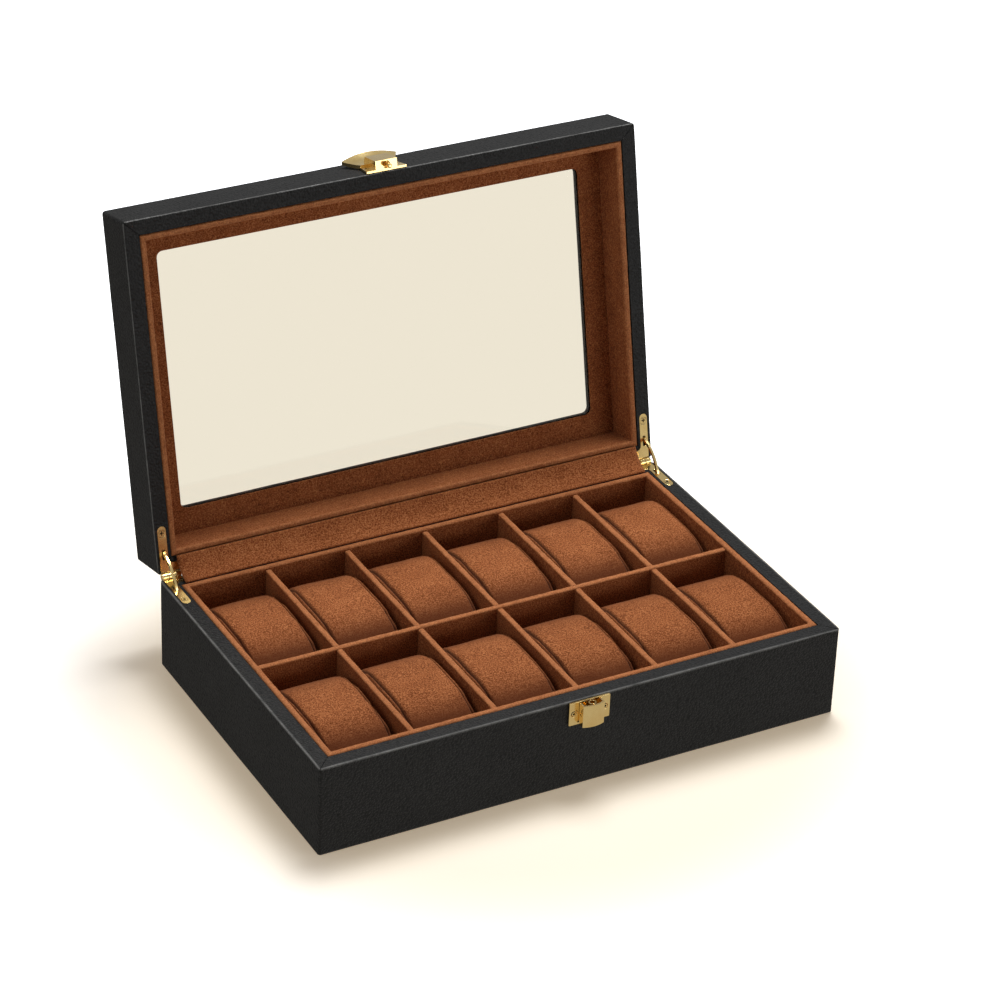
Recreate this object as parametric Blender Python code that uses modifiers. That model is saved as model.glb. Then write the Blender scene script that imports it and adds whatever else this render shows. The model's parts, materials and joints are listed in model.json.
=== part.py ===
"""Watch box: a leather-covered wooden box for twelve watches, with its glazed lid open on two stop hinges.

The origin is on the underside, at its centre. X runs along the box, the front faces -Y and Z is up.
The lid's pieces are drawn in their closed place and hang on an empty at the hinge pin, which opens them.
"""

import math

import bmesh
import bpy
from mathutils import Matrix, Vector

# Whole box, in metres and degrees
BOX_WIDTH = 0.300
BOX_DEPTH = 0.192
BASE_HEIGHT = 0.052
LID_HEIGHT = 0.028
RIM_GAP = 0.0007
OPEN_ANGLE = 102.0
CLEARANCE = 0.0003
OVERRUN = 0.001

# Walls: leather over a mitred board, with a suede lining inside
LEATHER = 0.0010
BOARD = 0.0070
LINING = 0.0034
LEATHER_CORNER = 0.0016
LEATHER_EDGE = 0.0007
LINING_CORNER = 0.0012
LINING_EDGE = 0.0008
LINING_LIP = 0.0004

# Bottom
FELT = 0.0010
FELT_INSET = 0.0040
FELT_CORNER = 0.0030
LEATHER_FOOT = 0.0006
BOTTOM_BOARD = 0.0050
FLOOR_LINING = 0.0010

# Compartments
COLUMN_COUNT = 6
DIVIDER = 0.0032
DIVIDER_EDGE = 0.0010
ROW_DIVIDER_DROP = 0.0007
COLUMN_DIVIDER_DROP = 0.0012

# Watch cushions
CUSHION_SIDE_PLAY = 0.0010
CUSHION_FRONT_PLAY = 0.0014
CUSHION_BACK_PLAY = 0.0036
CUSHION_HEIGHT = 0.0424
CUSHION_FRONT_REACH = 0.0320
CUSHION_FRONT_FALL = 0.0240
CUSHION_BACK_REACH = 0.0260
CUSHION_BACK_FALL = 0.0180
CUSHION_WAIST_HEIGHT = 0.0090
CUSHION_SEAM_INSET = 0.0024
CUSHION_SEAM_WIDTH = 0.0020
CUSHION_SEAM_DEPTH = 0.0007
CUSHION_END_DRAW = 0.0020
CUSHION_WAIST = 0.0006

# Lid
WINDOW_MARGIN = 0.0132
WINDOW_CORNER = 0.0033
WINDOW_BOARD = 0.0040
WINDOW_LINING = 0.0010
GLASS = 0.0020
GLASS_REBATE = 0.0060

# Stop hinges
PIN_BACK = 0.0015
PIN_RADIUS = 0.0008
BARREL_RADIUS = 0.0022
BARREL_PLAY = 0.00035
KNUCKLE_COUNT = 3
KNUCKLE = 0.0032
LEAF = 0.0012
LEAF_INSET = 0.0019
LEAF_STRIP = 0.0048
LEAF_LENGTH = 0.0280
LEAF_SHOULDER = 0.0070
LEAF_FILLET = 0.0025
LEAF_SCREW_REACH = 0.0236

# Stays, which turn about the hinge pin at half the lid's angle
STAY_REACH = 0.0130
STAY_RISE = 0.0024
STAY_TAIL = 0.0029
STAY_BAR = 0.0018
STAY_THICKNESS = 0.0012
STOP_RADIUS = 0.0008
STOP_LENGTH = 0.0028
SLOT_PLAY = 0.00045
POCKET_PLAY = 0.0009
POCKET_WIDTH = 0.0038

# Wood screws
SCREW_HEAD_RADIUS = 0.0017
SCREW_HEAD_DEPTH = 0.0009
SCREW_SHANK_RADIUS = 0.0008
SCREW_LENGTH = 0.0080
SCREW_POINT = 0.0018
SMALL_SCREW_HEAD_RADIUS = 0.0014
SMALL_SCREW_LENGTH = 0.0065

# Catch on the base's front
CATCH_WIDTH = 0.0235
CATCH_HEIGHT = 0.0134
CATCH_PLATE = 0.0010
CATCH_DROP = 0.0004
CATCH_CORNER = 0.0006
CATCH_SCREW_INSET = 0.0027
HOOD_WIDTH = 0.0123
HOOD_HEIGHT = 0.0126
HOOD_DROP = 0.0006
HOOD_SHEET = 0.0009
HOOD_BULGE = 0.0013
LEVER_ANGLE = 6.0
CATCH_PIN_RADIUS = 0.0006
CATCH_PIN_OUT = 0.0032
CATCH_PIN_DROP = 0.0069
EAR_THICKNESS = 0.0009
EAR_RADIUS = 0.0014
SOCKET_RADIUS = 0.0020
SOCKET_WALL = 0.00045
SOCKET_TOP_DROP = 0.0003
SOCKET_LENGTH = 0.0048
TONGUE_WIDTH = 0.0020
TONGUE_THICKNESS = 0.0006
TONGUE_DROP = 0.0012
TONGUE_PLAY = 0.0006
SPRING_WIDTH = 0.0044
SPRING_SHEET = 0.0004
SPRING_RISE = 0.0017

# Latch on the lid's front
LATCH_WIDTH = 0.0232
LATCH_HEIGHT = 0.0125
LATCH_TAPER = 0.0014
LATCH_PLATE = 0.0012
LATCH_LIFT = 0.0002
LATCH_SCREW_INSET = 0.0026
LATCH_HOOD_WIDTH = 0.0126
LATCH_HOOD_REACH = 0.0062
LATCH_HOOD_LENGTH = 0.0150
LATCH_RECESS_RADIUS = 0.0022
LATCH_RECESS_DEPTH = 0.0018
FAN_START = 0.0105
FAN_LENGTH = 0.0210
FAN_WIDTH = 0.0320
FAN_ARCH = 0.0024
FAN_BULGE = 0.0022
FAN_SHEET = 0.0020
STUD_RADIUS = 0.00125
STUD_NECK_RADIUS = 0.00055
STUD_HEAD = 0.0011
STUD_FOOT = 0.0020

# Cloth cover over the hinge joint
COVER_THICKNESS = 0.0008
COVER_REACH = 0.0106
COVER_SAG = 0.0016

# Facets
CORNER_STEPS = 4
EDGE_STEPS = 2
SOFT_EDGE_STEPS = 3
ROUND_SIDES = 24
PIN_SIDES = 16
ARC_STEPS = 12
FRONT_ROLL_STEPS = 3
BACK_ROLL_STEPS = 2
weld_share = 0.01
round_profile_share = 0.5

# Heights and levels that follow
half_width = BOX_WIDTH / 2
half_depth = BOX_DEPTH / 2
lid_rim = BASE_HEIGHT + RIM_GAP
lid_top = lid_rim + LID_HEIGHT
skin = LEATHER + CLEARANCE
weld_distance = CLEARANCE * weld_share
board_inside = skin + BOARD
lining_outside = board_inside + CLEARANCE
lining_inside = lining_outside + LINING
window_inset = lining_inside + WINDOW_MARGIN
bottom_low = FELT + CLEARANCE
bottom_high = bottom_low + BOTTOM_BOARD
wall_low = bottom_high + CLEARANCE
floor_top = wall_low + FLOOR_LINING
inner_low = floor_top + CLEARANCE
lining_top = BASE_HEIGHT + LINING_LIP
window_board_high = lid_top - skin
window_board_low = window_board_high - WINDOW_BOARD
window_lining_high = window_board_low - CLEARANCE
window_lining_low = window_lining_high - WINDOW_LINING
glass_low = window_board_low
glass_high = glass_low + GLASS

# Hinge and stay geometry that follows
pin_y = half_depth + PIN_BACK
pin_z = BASE_HEIGHT + RIM_GAP / 2
open_turn = math.radians(OPEN_ANGLE)
half_turn = open_turn / 2
stay_chord = STAY_REACH * math.sin(half_turn)
stay_radius = (stay_chord**2 + STAY_RISE**2) / (2 * STAY_RISE)
stay_middle = STAY_REACH * math.cos(half_turn) + STAY_RISE
stay_centre = stay_middle - stay_radius
stay_sweep = math.asin(stay_chord / stay_radius) + STAY_TAIL / stay_radius
stay_inset = LEAF_INSET + LEAF_STRIP / 2
barrel_length = KNUCKLE_COUNT * KNUCKLE + (KNUCKLE_COUNT - 1) * CLEARANCE
base_knuckles = range(0, KNUCKLE_COUNT, 2)
lid_knuckles = range(1, KNUCKLE_COUNT, 2)

# Catch places that follow, all measured out from the front face or down from the base's rim
catch_pin_y = -half_depth - CATCH_PIN_OUT
catch_face = CLEARANCE + CATCH_PLATE
hood_back = catch_face + CLEARANCE
socket_out = catch_face + CLEARANCE + SOCKET_RADIUS
hood_front = socket_out + SOCKET_RADIUS + CLEARANCE + HOOD_SHEET
hood_top = BASE_HEIGHT - HOOD_DROP - CATCH_DROP
hood_low = hood_top - HOOD_HEIGHT
catch_high = BASE_HEIGHT - CATCH_DROP
catch_low = catch_high - CATCH_HEIGHT
catch_pin_z = catch_high - CATCH_PIN_DROP
socket_high = catch_high - SOCKET_TOP_DROP
socket_low = socket_high - SOCKET_LENGTH
tongue_high = socket_high - TONGUE_DROP
tongue_low = tongue_high - TONGUE_THICKNESS
latch_low = lid_rim + LATCH_LIFT

model = bpy.data.collections.new("watch_box")
cutters = bpy.data.collections.new("watch_box_cutters")


def clear_scene():
    for obj in list(bpy.data.objects):
        bpy.data.objects.remove(obj)
    bpy.context.scene.collection.children.link(model)
    bpy.context.scene.collection.children.link(cutters)


def material(name, colour, roughness, metallic=0.0, transmission=0.0):
    made = bpy.data.materials.new(name)
    made.use_nodes = True
    shader = made.node_tree.nodes["Principled BSDF"]
    shader.inputs["Base Color"].default_value = (*colour, 1)
    shader.inputs["Roughness"].default_value = roughness
    shader.inputs["Metallic"].default_value = metallic
    shader.inputs["Transmission Weight"].default_value = transmission
    made.diffuse_color = (*colour, 1)
    return made


leather = material("black_leather", (0.012, 0.012, 0.014), 0.45)
suede = material("brown_suede", (0.270, 0.072, 0.025), 0.95)
wood = material("carcass_wood", (0.330, 0.200, 0.110), 0.60)
brass = material("polished_brass", (0.800, 0.520, 0.180), 0.18, metallic=1.0)
glass = material("window_glass", (0.900, 0.930, 0.920), 0.03, transmission=1.0)
felt = material("black_felt", (0.020, 0.020, 0.020), 0.95)


# Outlines, as lists of points in a plane


def arc(centre, radius, start, end, steps):
    points = []
    for step in range(steps + 1):
        angle = start + (end - start) * step / steps
        points.append((centre[0] + radius * math.cos(angle), centre[1] + radius * math.sin(angle)))
    return points


def rounded_rectangle(half_x, half_y, radius, centre=(0, 0)):
    quarter = math.pi / 2
    points = []
    for turn, (side_x, side_y) in enumerate(((1, 1), (-1, 1), (-1, -1), (1, -1))):
        corner = (centre[0] + side_x * (half_x - radius), centre[1] + side_y * (half_y - radius))
        points += arc(corner, radius, turn * quarter, (turn + 1) * quarter, CORNER_STEPS)
    return points


def box_outline(inset, radius):
    return rounded_rectangle(half_width - inset, half_depth - inset, radius)


def rectangle(low, high):
    return [(low[0], low[1]), (high[0], low[1]), (high[0], high[1]), (low[0], high[1])]


# Solids

planes = {
    "floor": Matrix(((1, 0, 0, 0), (0, 1, 0, 0), (0, 0, 1, 0), (0, 0, 0, 1))),
    "side": Matrix(((0, 0, 1, 0), (1, 0, 0, 0), (0, 1, 0, 0), (0, 0, 0, 1))),
    "front": Matrix(((1, 0, 0, 0), (0, 0, -1, -half_depth), (0, 1, 0, 0), (0, 0, 0, 1))),
}


def keep(obj, surface):
    """Puts a finished piece in the model, with its material."""
    model.objects.link(obj)
    obj.data.materials.clear()
    obj.data.materials.append(surface)
    return obj


def helper(obj):
    """Puts a cutter or a shape to be joined in the collection that isn't drawn."""
    cutters.objects.link(obj)
    obj.hide_render = True
    obj.display_type = "WIRE"
    return obj


def closed_mesh(bm, name):
    """A mesh whose faces point out, from a surface that closes on itself or is given its wall later."""
    bmesh.ops.recalc_face_normals(bm, faces=bm.faces)
    if bm.calc_volume(signed=True) < 0:
        bmesh.ops.reverse_faces(bm, faces=bm.faces)
    mesh = bpy.data.meshes.new(name)
    bm.to_mesh(mesh)
    bm.free()
    return mesh


def evaluated_mesh(guide, name, flat_degrees=1):
    """The welded mesh of a guide's outline or profile, as its curve or modifiers make it."""
    bpy.context.view_layer.update()
    made = bpy.data.meshes.new_from_object(guide.evaluated_get(bpy.context.evaluated_depsgraph_get()))
    bm = bmesh.new()
    bm.from_mesh(made)
    bmesh.ops.remove_doubles(bm, verts=bm.verts, dist=weld_distance)
    bmesh.ops.dissolve_limit(bm, angle_limit=math.radians(flat_degrees), verts=bm.verts, edges=bm.edges)
    bpy.data.meshes.remove(made)
    return closed_mesh(bm, name)


def prism(name, outlines, low, high, plane="floor"):
    """A flat outline, with its holes, made as thick as from low to high along the plane's normal."""
    curve = bpy.data.curves.new(name, "CURVE")
    curve.dimensions = "2D"
    curve.fill_mode = "BOTH"
    curve.extrude = (high - low) / 2
    for outline in outlines:
        spline = curve.splines.new("POLY")
        spline.points.add(len(outline) - 1)
        for point, place in zip(spline.points, outline):
            point.co = (*place, 0, 1)
        spline.use_cyclic_u = True
    guide = bpy.data.objects.new(f"{name} outline", curve)
    cutters.objects.link(guide)
    guide.matrix_world = planes[plane] @ Matrix.Translation((0, 0, (low + high) / 2))
    solid = bpy.data.objects.new(name, evaluated_mesh(guide, name))
    solid.matrix_world = guide.matrix_world
    bpy.data.objects.remove(guide)
    return solid


def block(name, low, high):
    bm = bmesh.new()
    bmesh.ops.create_cube(bm, size=1)
    for vert in bm.verts:
        share = vert.co + Vector((1, 1, 1)) / 2
        vert.co = [a + (b - a) * part for a, b, part in zip(low, high, share)]
    return bpy.data.objects.new(name, closed_mesh(bm, name))


def rod(name, start, end, radius, sides=ROUND_SIDES):
    """A cylinder between two points."""
    start = Vector(start)
    end = Vector(end)
    bm = bmesh.new()
    bmesh.ops.create_cone(
        bm, cap_ends=True, segments=sides, radius1=radius, radius2=radius, depth=(end - start).length
    )
    turn = (end - start).to_track_quat("Z", "Y").to_matrix().to_4x4()
    bm.transform(Matrix.Translation((start + end) / 2) @ turn)
    made = bpy.data.objects.new(name, closed_mesh(bm, name))
    smooth(made)
    return made


def turned(name, profile, foot, along, sides=PIN_SIDES):
    """A turned piece: (radius, height) pairs, from the top down, stood on foot and pointing along."""
    line = bpy.data.meshes.new(f"{name} profile")
    verts = [(radius, 0, height) for radius, height in profile]
    edges = [(index, index + 1) for index in range(len(verts) - 1)]
    line.from_pydata(verts, edges, [])
    guide = bpy.data.objects.new(f"{name} profile", line)
    cutters.objects.link(guide)
    screw = guide.modifiers.new("turn", "SCREW")
    screw.steps = sides
    screw.render_steps = sides
    screw.use_merge_vertices = True
    screw.merge_threshold = weld_distance
    made = bpy.data.objects.new(name, evaluated_mesh(guide, name))
    bpy.data.objects.remove(guide)
    made.location = foot
    made.rotation_euler = Vector(along).to_track_quat("Z", "Y").to_euler()
    smooth(made)
    return made


def smooth(obj, sharp_degrees=35):
    obj.data.shade_smooth()
    obj.data.set_sharp_from_angle(angle=math.radians(sharp_degrees))


def round_edges(obj, width, corner_degrees=40):
    bevel = obj.modifiers.new("rounded edges", "BEVEL")
    bevel.width = width
    bevel.segments = EDGE_STEPS
    bevel.limit_method = "ANGLE"
    bevel.angle_limit = math.radians(corner_degrees)
    return obj


def combine(obj, operation, others):
    for other in others:
        boolean = obj.modifiers.new(f"{operation.lower()} {other.name}", "BOOLEAN")
        boolean.operation = operation
        boolean.solver = "EXACT"
        boolean.object = other
    return obj


def cut(obj, *others):
    return combine(obj, "DIFFERENCE", others)


def join(obj, *others):
    return combine(obj, "UNION", others)


def pivot(name, place):
    made = bpy.data.objects.new(name, None)
    model.objects.link(made)
    made.location = place
    made.empty_display_size = LEAF_LENGTH
    return made


def hang(obj, carrier):
    """Hangs a piece drawn in its unturned place on the empty that will turn it."""
    obj.parent = carrier
    obj.matrix_parent_inverse = Matrix.Translation(-carrier.location)
    return obj


clear_scene()
lid_pivot = pivot("lid_pivot", (0, pin_y, pin_z))


def lid_piece(obj, surface):
    return hang(keep(obj, surface), lid_pivot)


def lid_helper(obj):
    return hang(helper(obj), lid_pivot)


# Hinge outlines and cutters, needed by the walls


def across(side, inset):
    """X of a place that lies inset from the outer face of the left (-1) or right (1) side."""
    return side * (half_width - inset)


def leaf_outline(side, grow=0.0):
    """Strip with a round end, which widens at the knuckles by a shoulder with a hollow fillet."""
    strip_low = LEAF_INSET - grow
    strip_high = LEAF_INSET + LEAF_STRIP + grow
    wide_high = LEAF_INSET + barrel_length + grow
    end_radius = LEAF_STRIP / 2 + grow
    end_centre = (stay_inset, LEAF_LENGTH - LEAF_STRIP / 2)
    shoulder = LEAF_SHOULDER + grow
    fillet_centre = (strip_high + LEAF_FILLET, shoulder + LEAF_FILLET)
    points = [(strip_low, 0)]
    points += arc(end_centre, end_radius, math.pi, 0, 2 * CORNER_STEPS)
    points += arc(fillet_centre, LEAF_FILLET, math.pi, 1.5 * math.pi, CORNER_STEPS)
    points += [(wide_high, shoulder), (wide_high, 0)]
    return [(across(side, inset), pin_y - reach) for inset, reach in points]


def knuckle_span(index):
    start = LEAF_INSET + index * (KNUCKLE + CLEARANCE)
    return start, start + KNUCKLE


def barrel_rod(name, side, span, radius, extra=0.0):
    start = (across(side, span[0] - extra), pin_y, pin_z)
    end = (across(side, span[1] + extra), pin_y, pin_z)
    return rod(name, start, end, radius)


def stop_place():
    """Where a stop's centre lies from the pin, forward and up, with the stay level as in the shut box."""
    forward = stay_centre + stay_radius * math.cos(stay_sweep)
    return forward, stay_radius * math.sin(stay_sweep)


def stay_slot(grow):
    """Nearest and farthest reach from the pin that the leaf's slot needs, from the stay shut and open."""
    leaf_under = RIM_GAP / 2 + LEAF
    outer = stay_radius + STAY_BAR / 2
    centre_forward = stay_centre * math.cos(half_turn)
    centre_up = stay_centre * math.sin(half_turn)
    farthest = centre_forward + math.sqrt(outer**2 - (leaf_under + centre_up) ** 2)
    return stay_middle - STAY_BAR / 2 - grow, farthest + grow


def pocket_reach():
    forward, drop = stop_place()
    reach = math.hypot(forward, drop)
    open_angle = math.atan2(drop, forward) - half_turn
    near = forward - STOP_RADIUS - POCKET_PLAY
    far = reach * math.cos(open_angle) + STOP_RADIUS + POCKET_PLAY
    return near, far, drop + STOP_RADIUS + POCKET_PLAY


def screw_hole(name, head, along, head_radius, length):
    """Cutter for a countersunk screw: head is the centre of the flush face, along points into the wood."""
    total = length + CLEARANCE
    foot = Vector(head) + Vector(along) * total
    wide = head_radius + CLEARANCE
    narrow = SCREW_SHANK_RADIUS + CLEARANCE
    profile = [
        (0, total + OVERRUN),
        (wide, total + OVERRUN),
        (wide, total),
        (narrow, total - SCREW_HEAD_DEPTH),
        (narrow, 0),
        (0, 0),
    ]
    return turned(name, profile, foot, -Vector(along))


def wood_screw(name, head, along, head_radius, length):
    foot = Vector(head) + Vector(along) * length
    profile = [
        (0, length),
        (head_radius, length),
        (SCREW_SHANK_RADIUS, length - SCREW_HEAD_DEPTH),
        (SCREW_SHANK_RADIUS, SCREW_POINT),
        (0, 0),
    ]
    return turned(name, profile, foot, -Vector(along))


def small_screw_hole(name, head):
    """Cutter for one of the small screws of the catch and the latch, which go in from the front."""
    return screw_hole(name, head, (0, 1, 0), SMALL_SCREW_HEAD_RADIUS, SMALL_SCREW_LENGTH)


def leaf_screw_hole(name, head, along):
    return screw_hole(name, head, along, SCREW_HEAD_RADIUS, SCREW_LENGTH)


sides = {"left": -1, "right": 1}
hinge_cutters = {}


def make_hinge_cutters(label, side):
    near, far, depth = pocket_reach()
    middle = across(side, stay_inset)
    low = (middle - POCKET_WIDTH / 2, pin_y - far)
    high = (middle + POCKET_WIDTH / 2, pin_y - near)
    screw_y = pin_y - LEAF_SCREW_REACH
    base_recess_low = BASE_HEIGHT - LEAF - CLEARANCE
    lid_recess_high = lid_rim + LEAF + CLEARANCE
    grown = leaf_outline(side, CLEARANCE)
    span = (LEAF_INSET, LEAF_INSET + barrel_length)
    notch = BARREL_RADIUS + BARREL_PLAY
    hinge_cutters[label] = {
        "base_recess": helper(prism(f"base_recess_{label}", [grown], base_recess_low, BASE_HEIGHT + OVERRUN)),
        "lid_recess": lid_helper(prism(f"lid_recess_{label}", [grown], lid_rim - OVERRUN, lid_recess_high)),
        "base_pocket": helper(
            block(f"base_pocket_{label}", (*low, pin_z - depth), (*high, BASE_HEIGHT + OVERRUN))
        ),
        "lid_pocket": lid_helper(
            block(f"lid_pocket_{label}", (*low, lid_rim - OVERRUN), (*high, pin_z + depth))
        ),
        "base_notch": helper(barrel_rod(f"base_notch_{label}", side, span, notch, CLEARANCE)),
        "lid_notch": lid_helper(barrel_rod(f"lid_notch_{label}", side, span, notch, CLEARANCE)),
        "base_hole": helper(
            leaf_screw_hole(f"base_hole_{label}", (middle, screw_y, BASE_HEIGHT), (0, 0, -1))
        ),
        "lid_hole": lid_helper(leaf_screw_hole(f"lid_hole_{label}", (middle, screw_y, lid_rim), (0, 0, 1))),
    }


for label, side in sides.items():
    make_hinge_cutters(label, side)


# Catch and latch screws, needed by the front boards

catch_screw_x = CATCH_WIDTH / 2 - CATCH_SCREW_INSET
catch_screw_z = catch_high - CATCH_HEIGHT / 2
latch_screw_x = LATCH_WIDTH / 2 - LATCH_SCREW_INSET
latch_screw_z = latch_low + LATCH_HEIGHT / 2
catch_screw_heads = {
    label: (side * catch_screw_x, -half_depth - catch_face, catch_screw_z) for label, side in sides.items()
}
latch_screw_heads = {
    label: (side * latch_screw_x, -half_depth - CLEARANCE - LATCH_PLATE, latch_screw_z)
    for label, side in sides.items()
}
catch_holes = [
    helper(small_screw_hole(f"catch_hole_{label}", head)) for label, head in catch_screw_heads.items()
]
latch_holes = [
    lid_helper(small_screw_hole(f"latch_hole_{label}", head)) for label, head in latch_screw_heads.items()
]


# Base carcass


def mitred_board(name, wall, low, high):
    """One of four boards, long face outside, its ends mitred with a saw's breadth to the next."""
    kerf = CLEARANCE / math.sqrt(2)
    long_half, wall_half = (half_width, half_depth) if wall in ("front", "back") else (half_depth, half_width)
    outer_end = long_half - skin - kerf
    inner_end = long_half - board_inside - kerf
    outer = wall_half - skin
    inner = wall_half - board_inside
    outline = [(-outer_end, outer), (outer_end, outer), (inner_end, inner), (-inner_end, inner)]
    if wall == "front":
        outline = [(x, -y) for x, y in outline]
    if wall == "right":
        outline = [(y, x) for x, y in outline]
    if wall == "left":
        outline = [(-y, x) for x, y in outline]
    return prism(name, [outline], low, high)


def make_base_boards():
    high = BASE_HEIGHT - skin
    front = keep(mitred_board("base_front_board", "front", wall_low, high), wood)
    cut(front, *catch_holes)
    back = keep(mitred_board("base_back_board", "back", wall_low, high), wood)
    for label in sides:
        found = hinge_cutters[label]
        wall = keep(mitred_board(f"base_{label}_board", label, wall_low, high), wood)
        cut(wall, found["base_recess"], found["base_pocket"], found["base_hole"])
        cut(back, found["base_recess"], found["base_pocket"])
    low_corner = (-half_width + skin, -half_depth + skin, bottom_low)
    keep(block("bottom_board", low_corner, (half_width - skin, half_depth - skin, bottom_high)), wood)


def make_base_skin():
    """The leather is one shell: over the walls, then in over the rim as far as the lining."""
    whole = round_edges(
        prism(
            "base_leather",
            [box_outline(0, LEATHER_CORNER), box_outline(board_inside, CLEARANCE)],
            LEATHER_FOOT,
            BASE_HEIGHT,
        ),
        LEATHER_EDGE,
    )
    cavity = helper(
        prism("base_cavity", [box_outline(LEATHER, CLEARANCE)], -OVERRUN, BASE_HEIGHT - LEATHER)
    )
    cut(keep(whole, leather), cavity, *catch_holes)
    for label in sides:
        found = hinge_cutters[label]
        cut(whole, found["base_recess"], found["base_notch"])
    keep(prism("felt_pad", [box_outline(FELT_INSET, FELT_CORNER)], 0, FELT), felt)


def make_base_lining():
    rings = [box_outline(lining_outside, LINING_CORNER), box_outline(lining_inside, LINING_CORNER)]
    keep(round_edges(prism("base_lining", rings, wall_low, lining_top), LINING_EDGE), suede)
    floor = [box_outline(lining_inside + CLEARANCE, LINING_CORNER)]
    keep(prism("floor_lining", floor, wall_low, floor_top), suede)


make_base_boards()
make_base_skin()
make_base_lining()


# Compartments

inner_half_x = half_width - lining_inside
inner_half_y = half_depth - lining_inside
cell_width = (2 * inner_half_x - (COLUMN_COUNT - 1) * DIVIDER) / COLUMN_COUNT
cell_pitch = cell_width + DIVIDER
cell_depth = inner_half_y - DIVIDER / 2
row_top = BASE_HEIGHT - ROW_DIVIDER_DROP
column_top = BASE_HEIGHT - COLUMN_DIVIDER_DROP
crossing = (inner_low + column_top) / 2


def divider_x(index):
    return (index - (COLUMN_COUNT - 2) / 2) * cell_pitch


def divider_board(name, low, high):
    """A covered board whose two long top edges are rounded."""
    made = block(name, low, high)
    bm = bmesh.new()
    bm.from_mesh(made.data)
    lengths = [b - a for a, b in zip(low, high)]
    long_axis = 0 if lengths[0] > lengths[1] else 1
    chosen = []
    for edge in bm.edges:
        first, second = (vert.co for vert in edge.verts)
        level = min(first.z, second.z) > (low[2] + high[2]) / 2
        if level and abs(first[long_axis] - second[long_axis]) > lengths[long_axis] / 2:
            chosen.append(edge)
    bmesh.ops.bevel(
        bm,
        geom=chosen,
        offset=DIVIDER_EDGE,
        segments=SOFT_EDGE_STEPS,
        affect="EDGES",
        profile=round_profile_share,
    )
    bm.to_mesh(made.data)
    bm.free()
    return made


def make_dividers():
    """Cross-halved: the row divider's slots open downwards, the columns' upwards."""
    reach_x = inner_half_x - CLEARANCE
    reach_y = inner_half_y - CLEARANCE
    half = DIVIDER / 2
    gap = half + CLEARANCE
    row = keep(divider_board("row_divider", (-reach_x, -half, inner_low), (reach_x, half, row_top)), suede)
    row_slot = helper(
        block("row_slot", (-reach_x, -gap, crossing - CLEARANCE / 2), (reach_x, gap, row_top + OVERRUN))
    )
    for index in range(COLUMN_COUNT - 1):
        x = divider_x(index)
        name = f"column_divider_{index + 1}"
        column = divider_board(name, (x - half, -reach_y, inner_low), (x + half, reach_y, column_top))
        cut(keep(column, suede), row_slot)
        slot_low = (x - gap, -gap, inner_low - OVERRUN)
        slot_high = (x + gap, gap, crossing + CLEARANCE / 2)
        cut(row, helper(block(f"column_slot_{index + 1}", slot_low, slot_high)))


make_dividers()


# Watch cushions


def roll_fall(gap, reach, fall):
    """How far the top has come down at a gap from the cushion's end, on an elliptic roll."""
    level_share = min(1, max(0, gap / reach))
    return fall * (1 - math.sin(math.acos(1 - level_share)))


def cushion_cage():
    """A coarse cage: sewn ends drawn in at a seam, and a top that rolls down to the front and the back."""
    half_x = cell_width / 2 - CUSHION_SIDE_PLAY
    half_y = (cell_depth - CLEARANCE - CUSHION_FRONT_PLAY - CUSHION_BACK_PLAY) / 2
    seam = half_x - CUSHION_SEAM_INSET
    body = seam - CUSHION_SEAM_WIDTH
    bm = bmesh.new()
    bmesh.ops.create_cube(bm, size=1)
    for vert in bm.verts:
        share = vert.co + Vector((0, 0, 1)) / 2
        vert.co = (2 * half_x * share.x, 2 * half_y * share.y, CUSHION_HEIGHT * share.z)
    stations = [((x, 0, 0), (1, 0, 0)) for x in (-seam, -body, body, seam)]
    rolls = ((-1, CUSHION_FRONT_REACH, FRONT_ROLL_STEPS), (1, CUSHION_BACK_REACH, BACK_ROLL_STEPS))
    for way, reach, count in rolls:
        for step in range(1, count + 1):
            gap = reach * (1 - math.cos(math.pi / 2 * step / count))
            stations.append(((0, way * (half_y - gap), 0), (0, 1, 0)))
    stations.append(((0, 0, CUSHION_WAIST_HEIGHT), (0, 0, 1)))
    for place, normal in stations:
        everything = [*bm.verts, *bm.edges, *bm.faces]
        bmesh.ops.bisect_plane(bm, geom=everything, dist=weld_distance, plane_co=place, plane_no=normal)
    for vert in bm.verts:
        x, y, z = vert.co
        draw = CUSHION_WAIST if abs(z - CUSHION_WAIST_HEIGHT) < CLEARANCE else 0
        if abs(x) > half_x - CLEARANCE:
            draw += CUSHION_END_DRAW
        elif abs(x) > seam - CLEARANCE:
            draw += CUSHION_SEAM_DEPTH
        if abs(y) > half_y - CLEARANCE:
            vert.co.y -= math.copysign(draw, y)
        if z > CUSHION_HEIGHT - CLEARANCE:
            front_fall = roll_fall(half_y + y, CUSHION_FRONT_REACH, CUSHION_FRONT_FALL)
            back_fall = roll_fall(half_y - y, CUSHION_BACK_REACH, CUSHION_BACK_FALL)
            vert.co.z -= draw + front_fall + back_fall
    return closed_mesh(bm, "watch_cushion")


def make_cushions():
    cage = cushion_cage()
    cage.materials.append(suede)
    row_y = DIVIDER / 2 + CLEARANCE + (cell_depth - CLEARANCE) / 2
    forward = (CUSHION_BACK_PLAY - CUSHION_FRONT_PLAY) / 2
    for row, way in (("front", -1), ("back", 1)):
        for index in range(COLUMN_COUNT):
            made = bpy.data.objects.new(f"cushion_{row}_{index + 1}", cage)
            model.objects.link(made)
            made.location = (divider_x(index) - cell_pitch / 2, way * row_y - forward, inner_low)
            soften = made.modifiers.new("soft", "SUBSURF")
            soften.levels = 1
            soften.render_levels = 1
    cage.shade_smooth()


make_cushions()


# Lid, drawn shut


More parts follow.
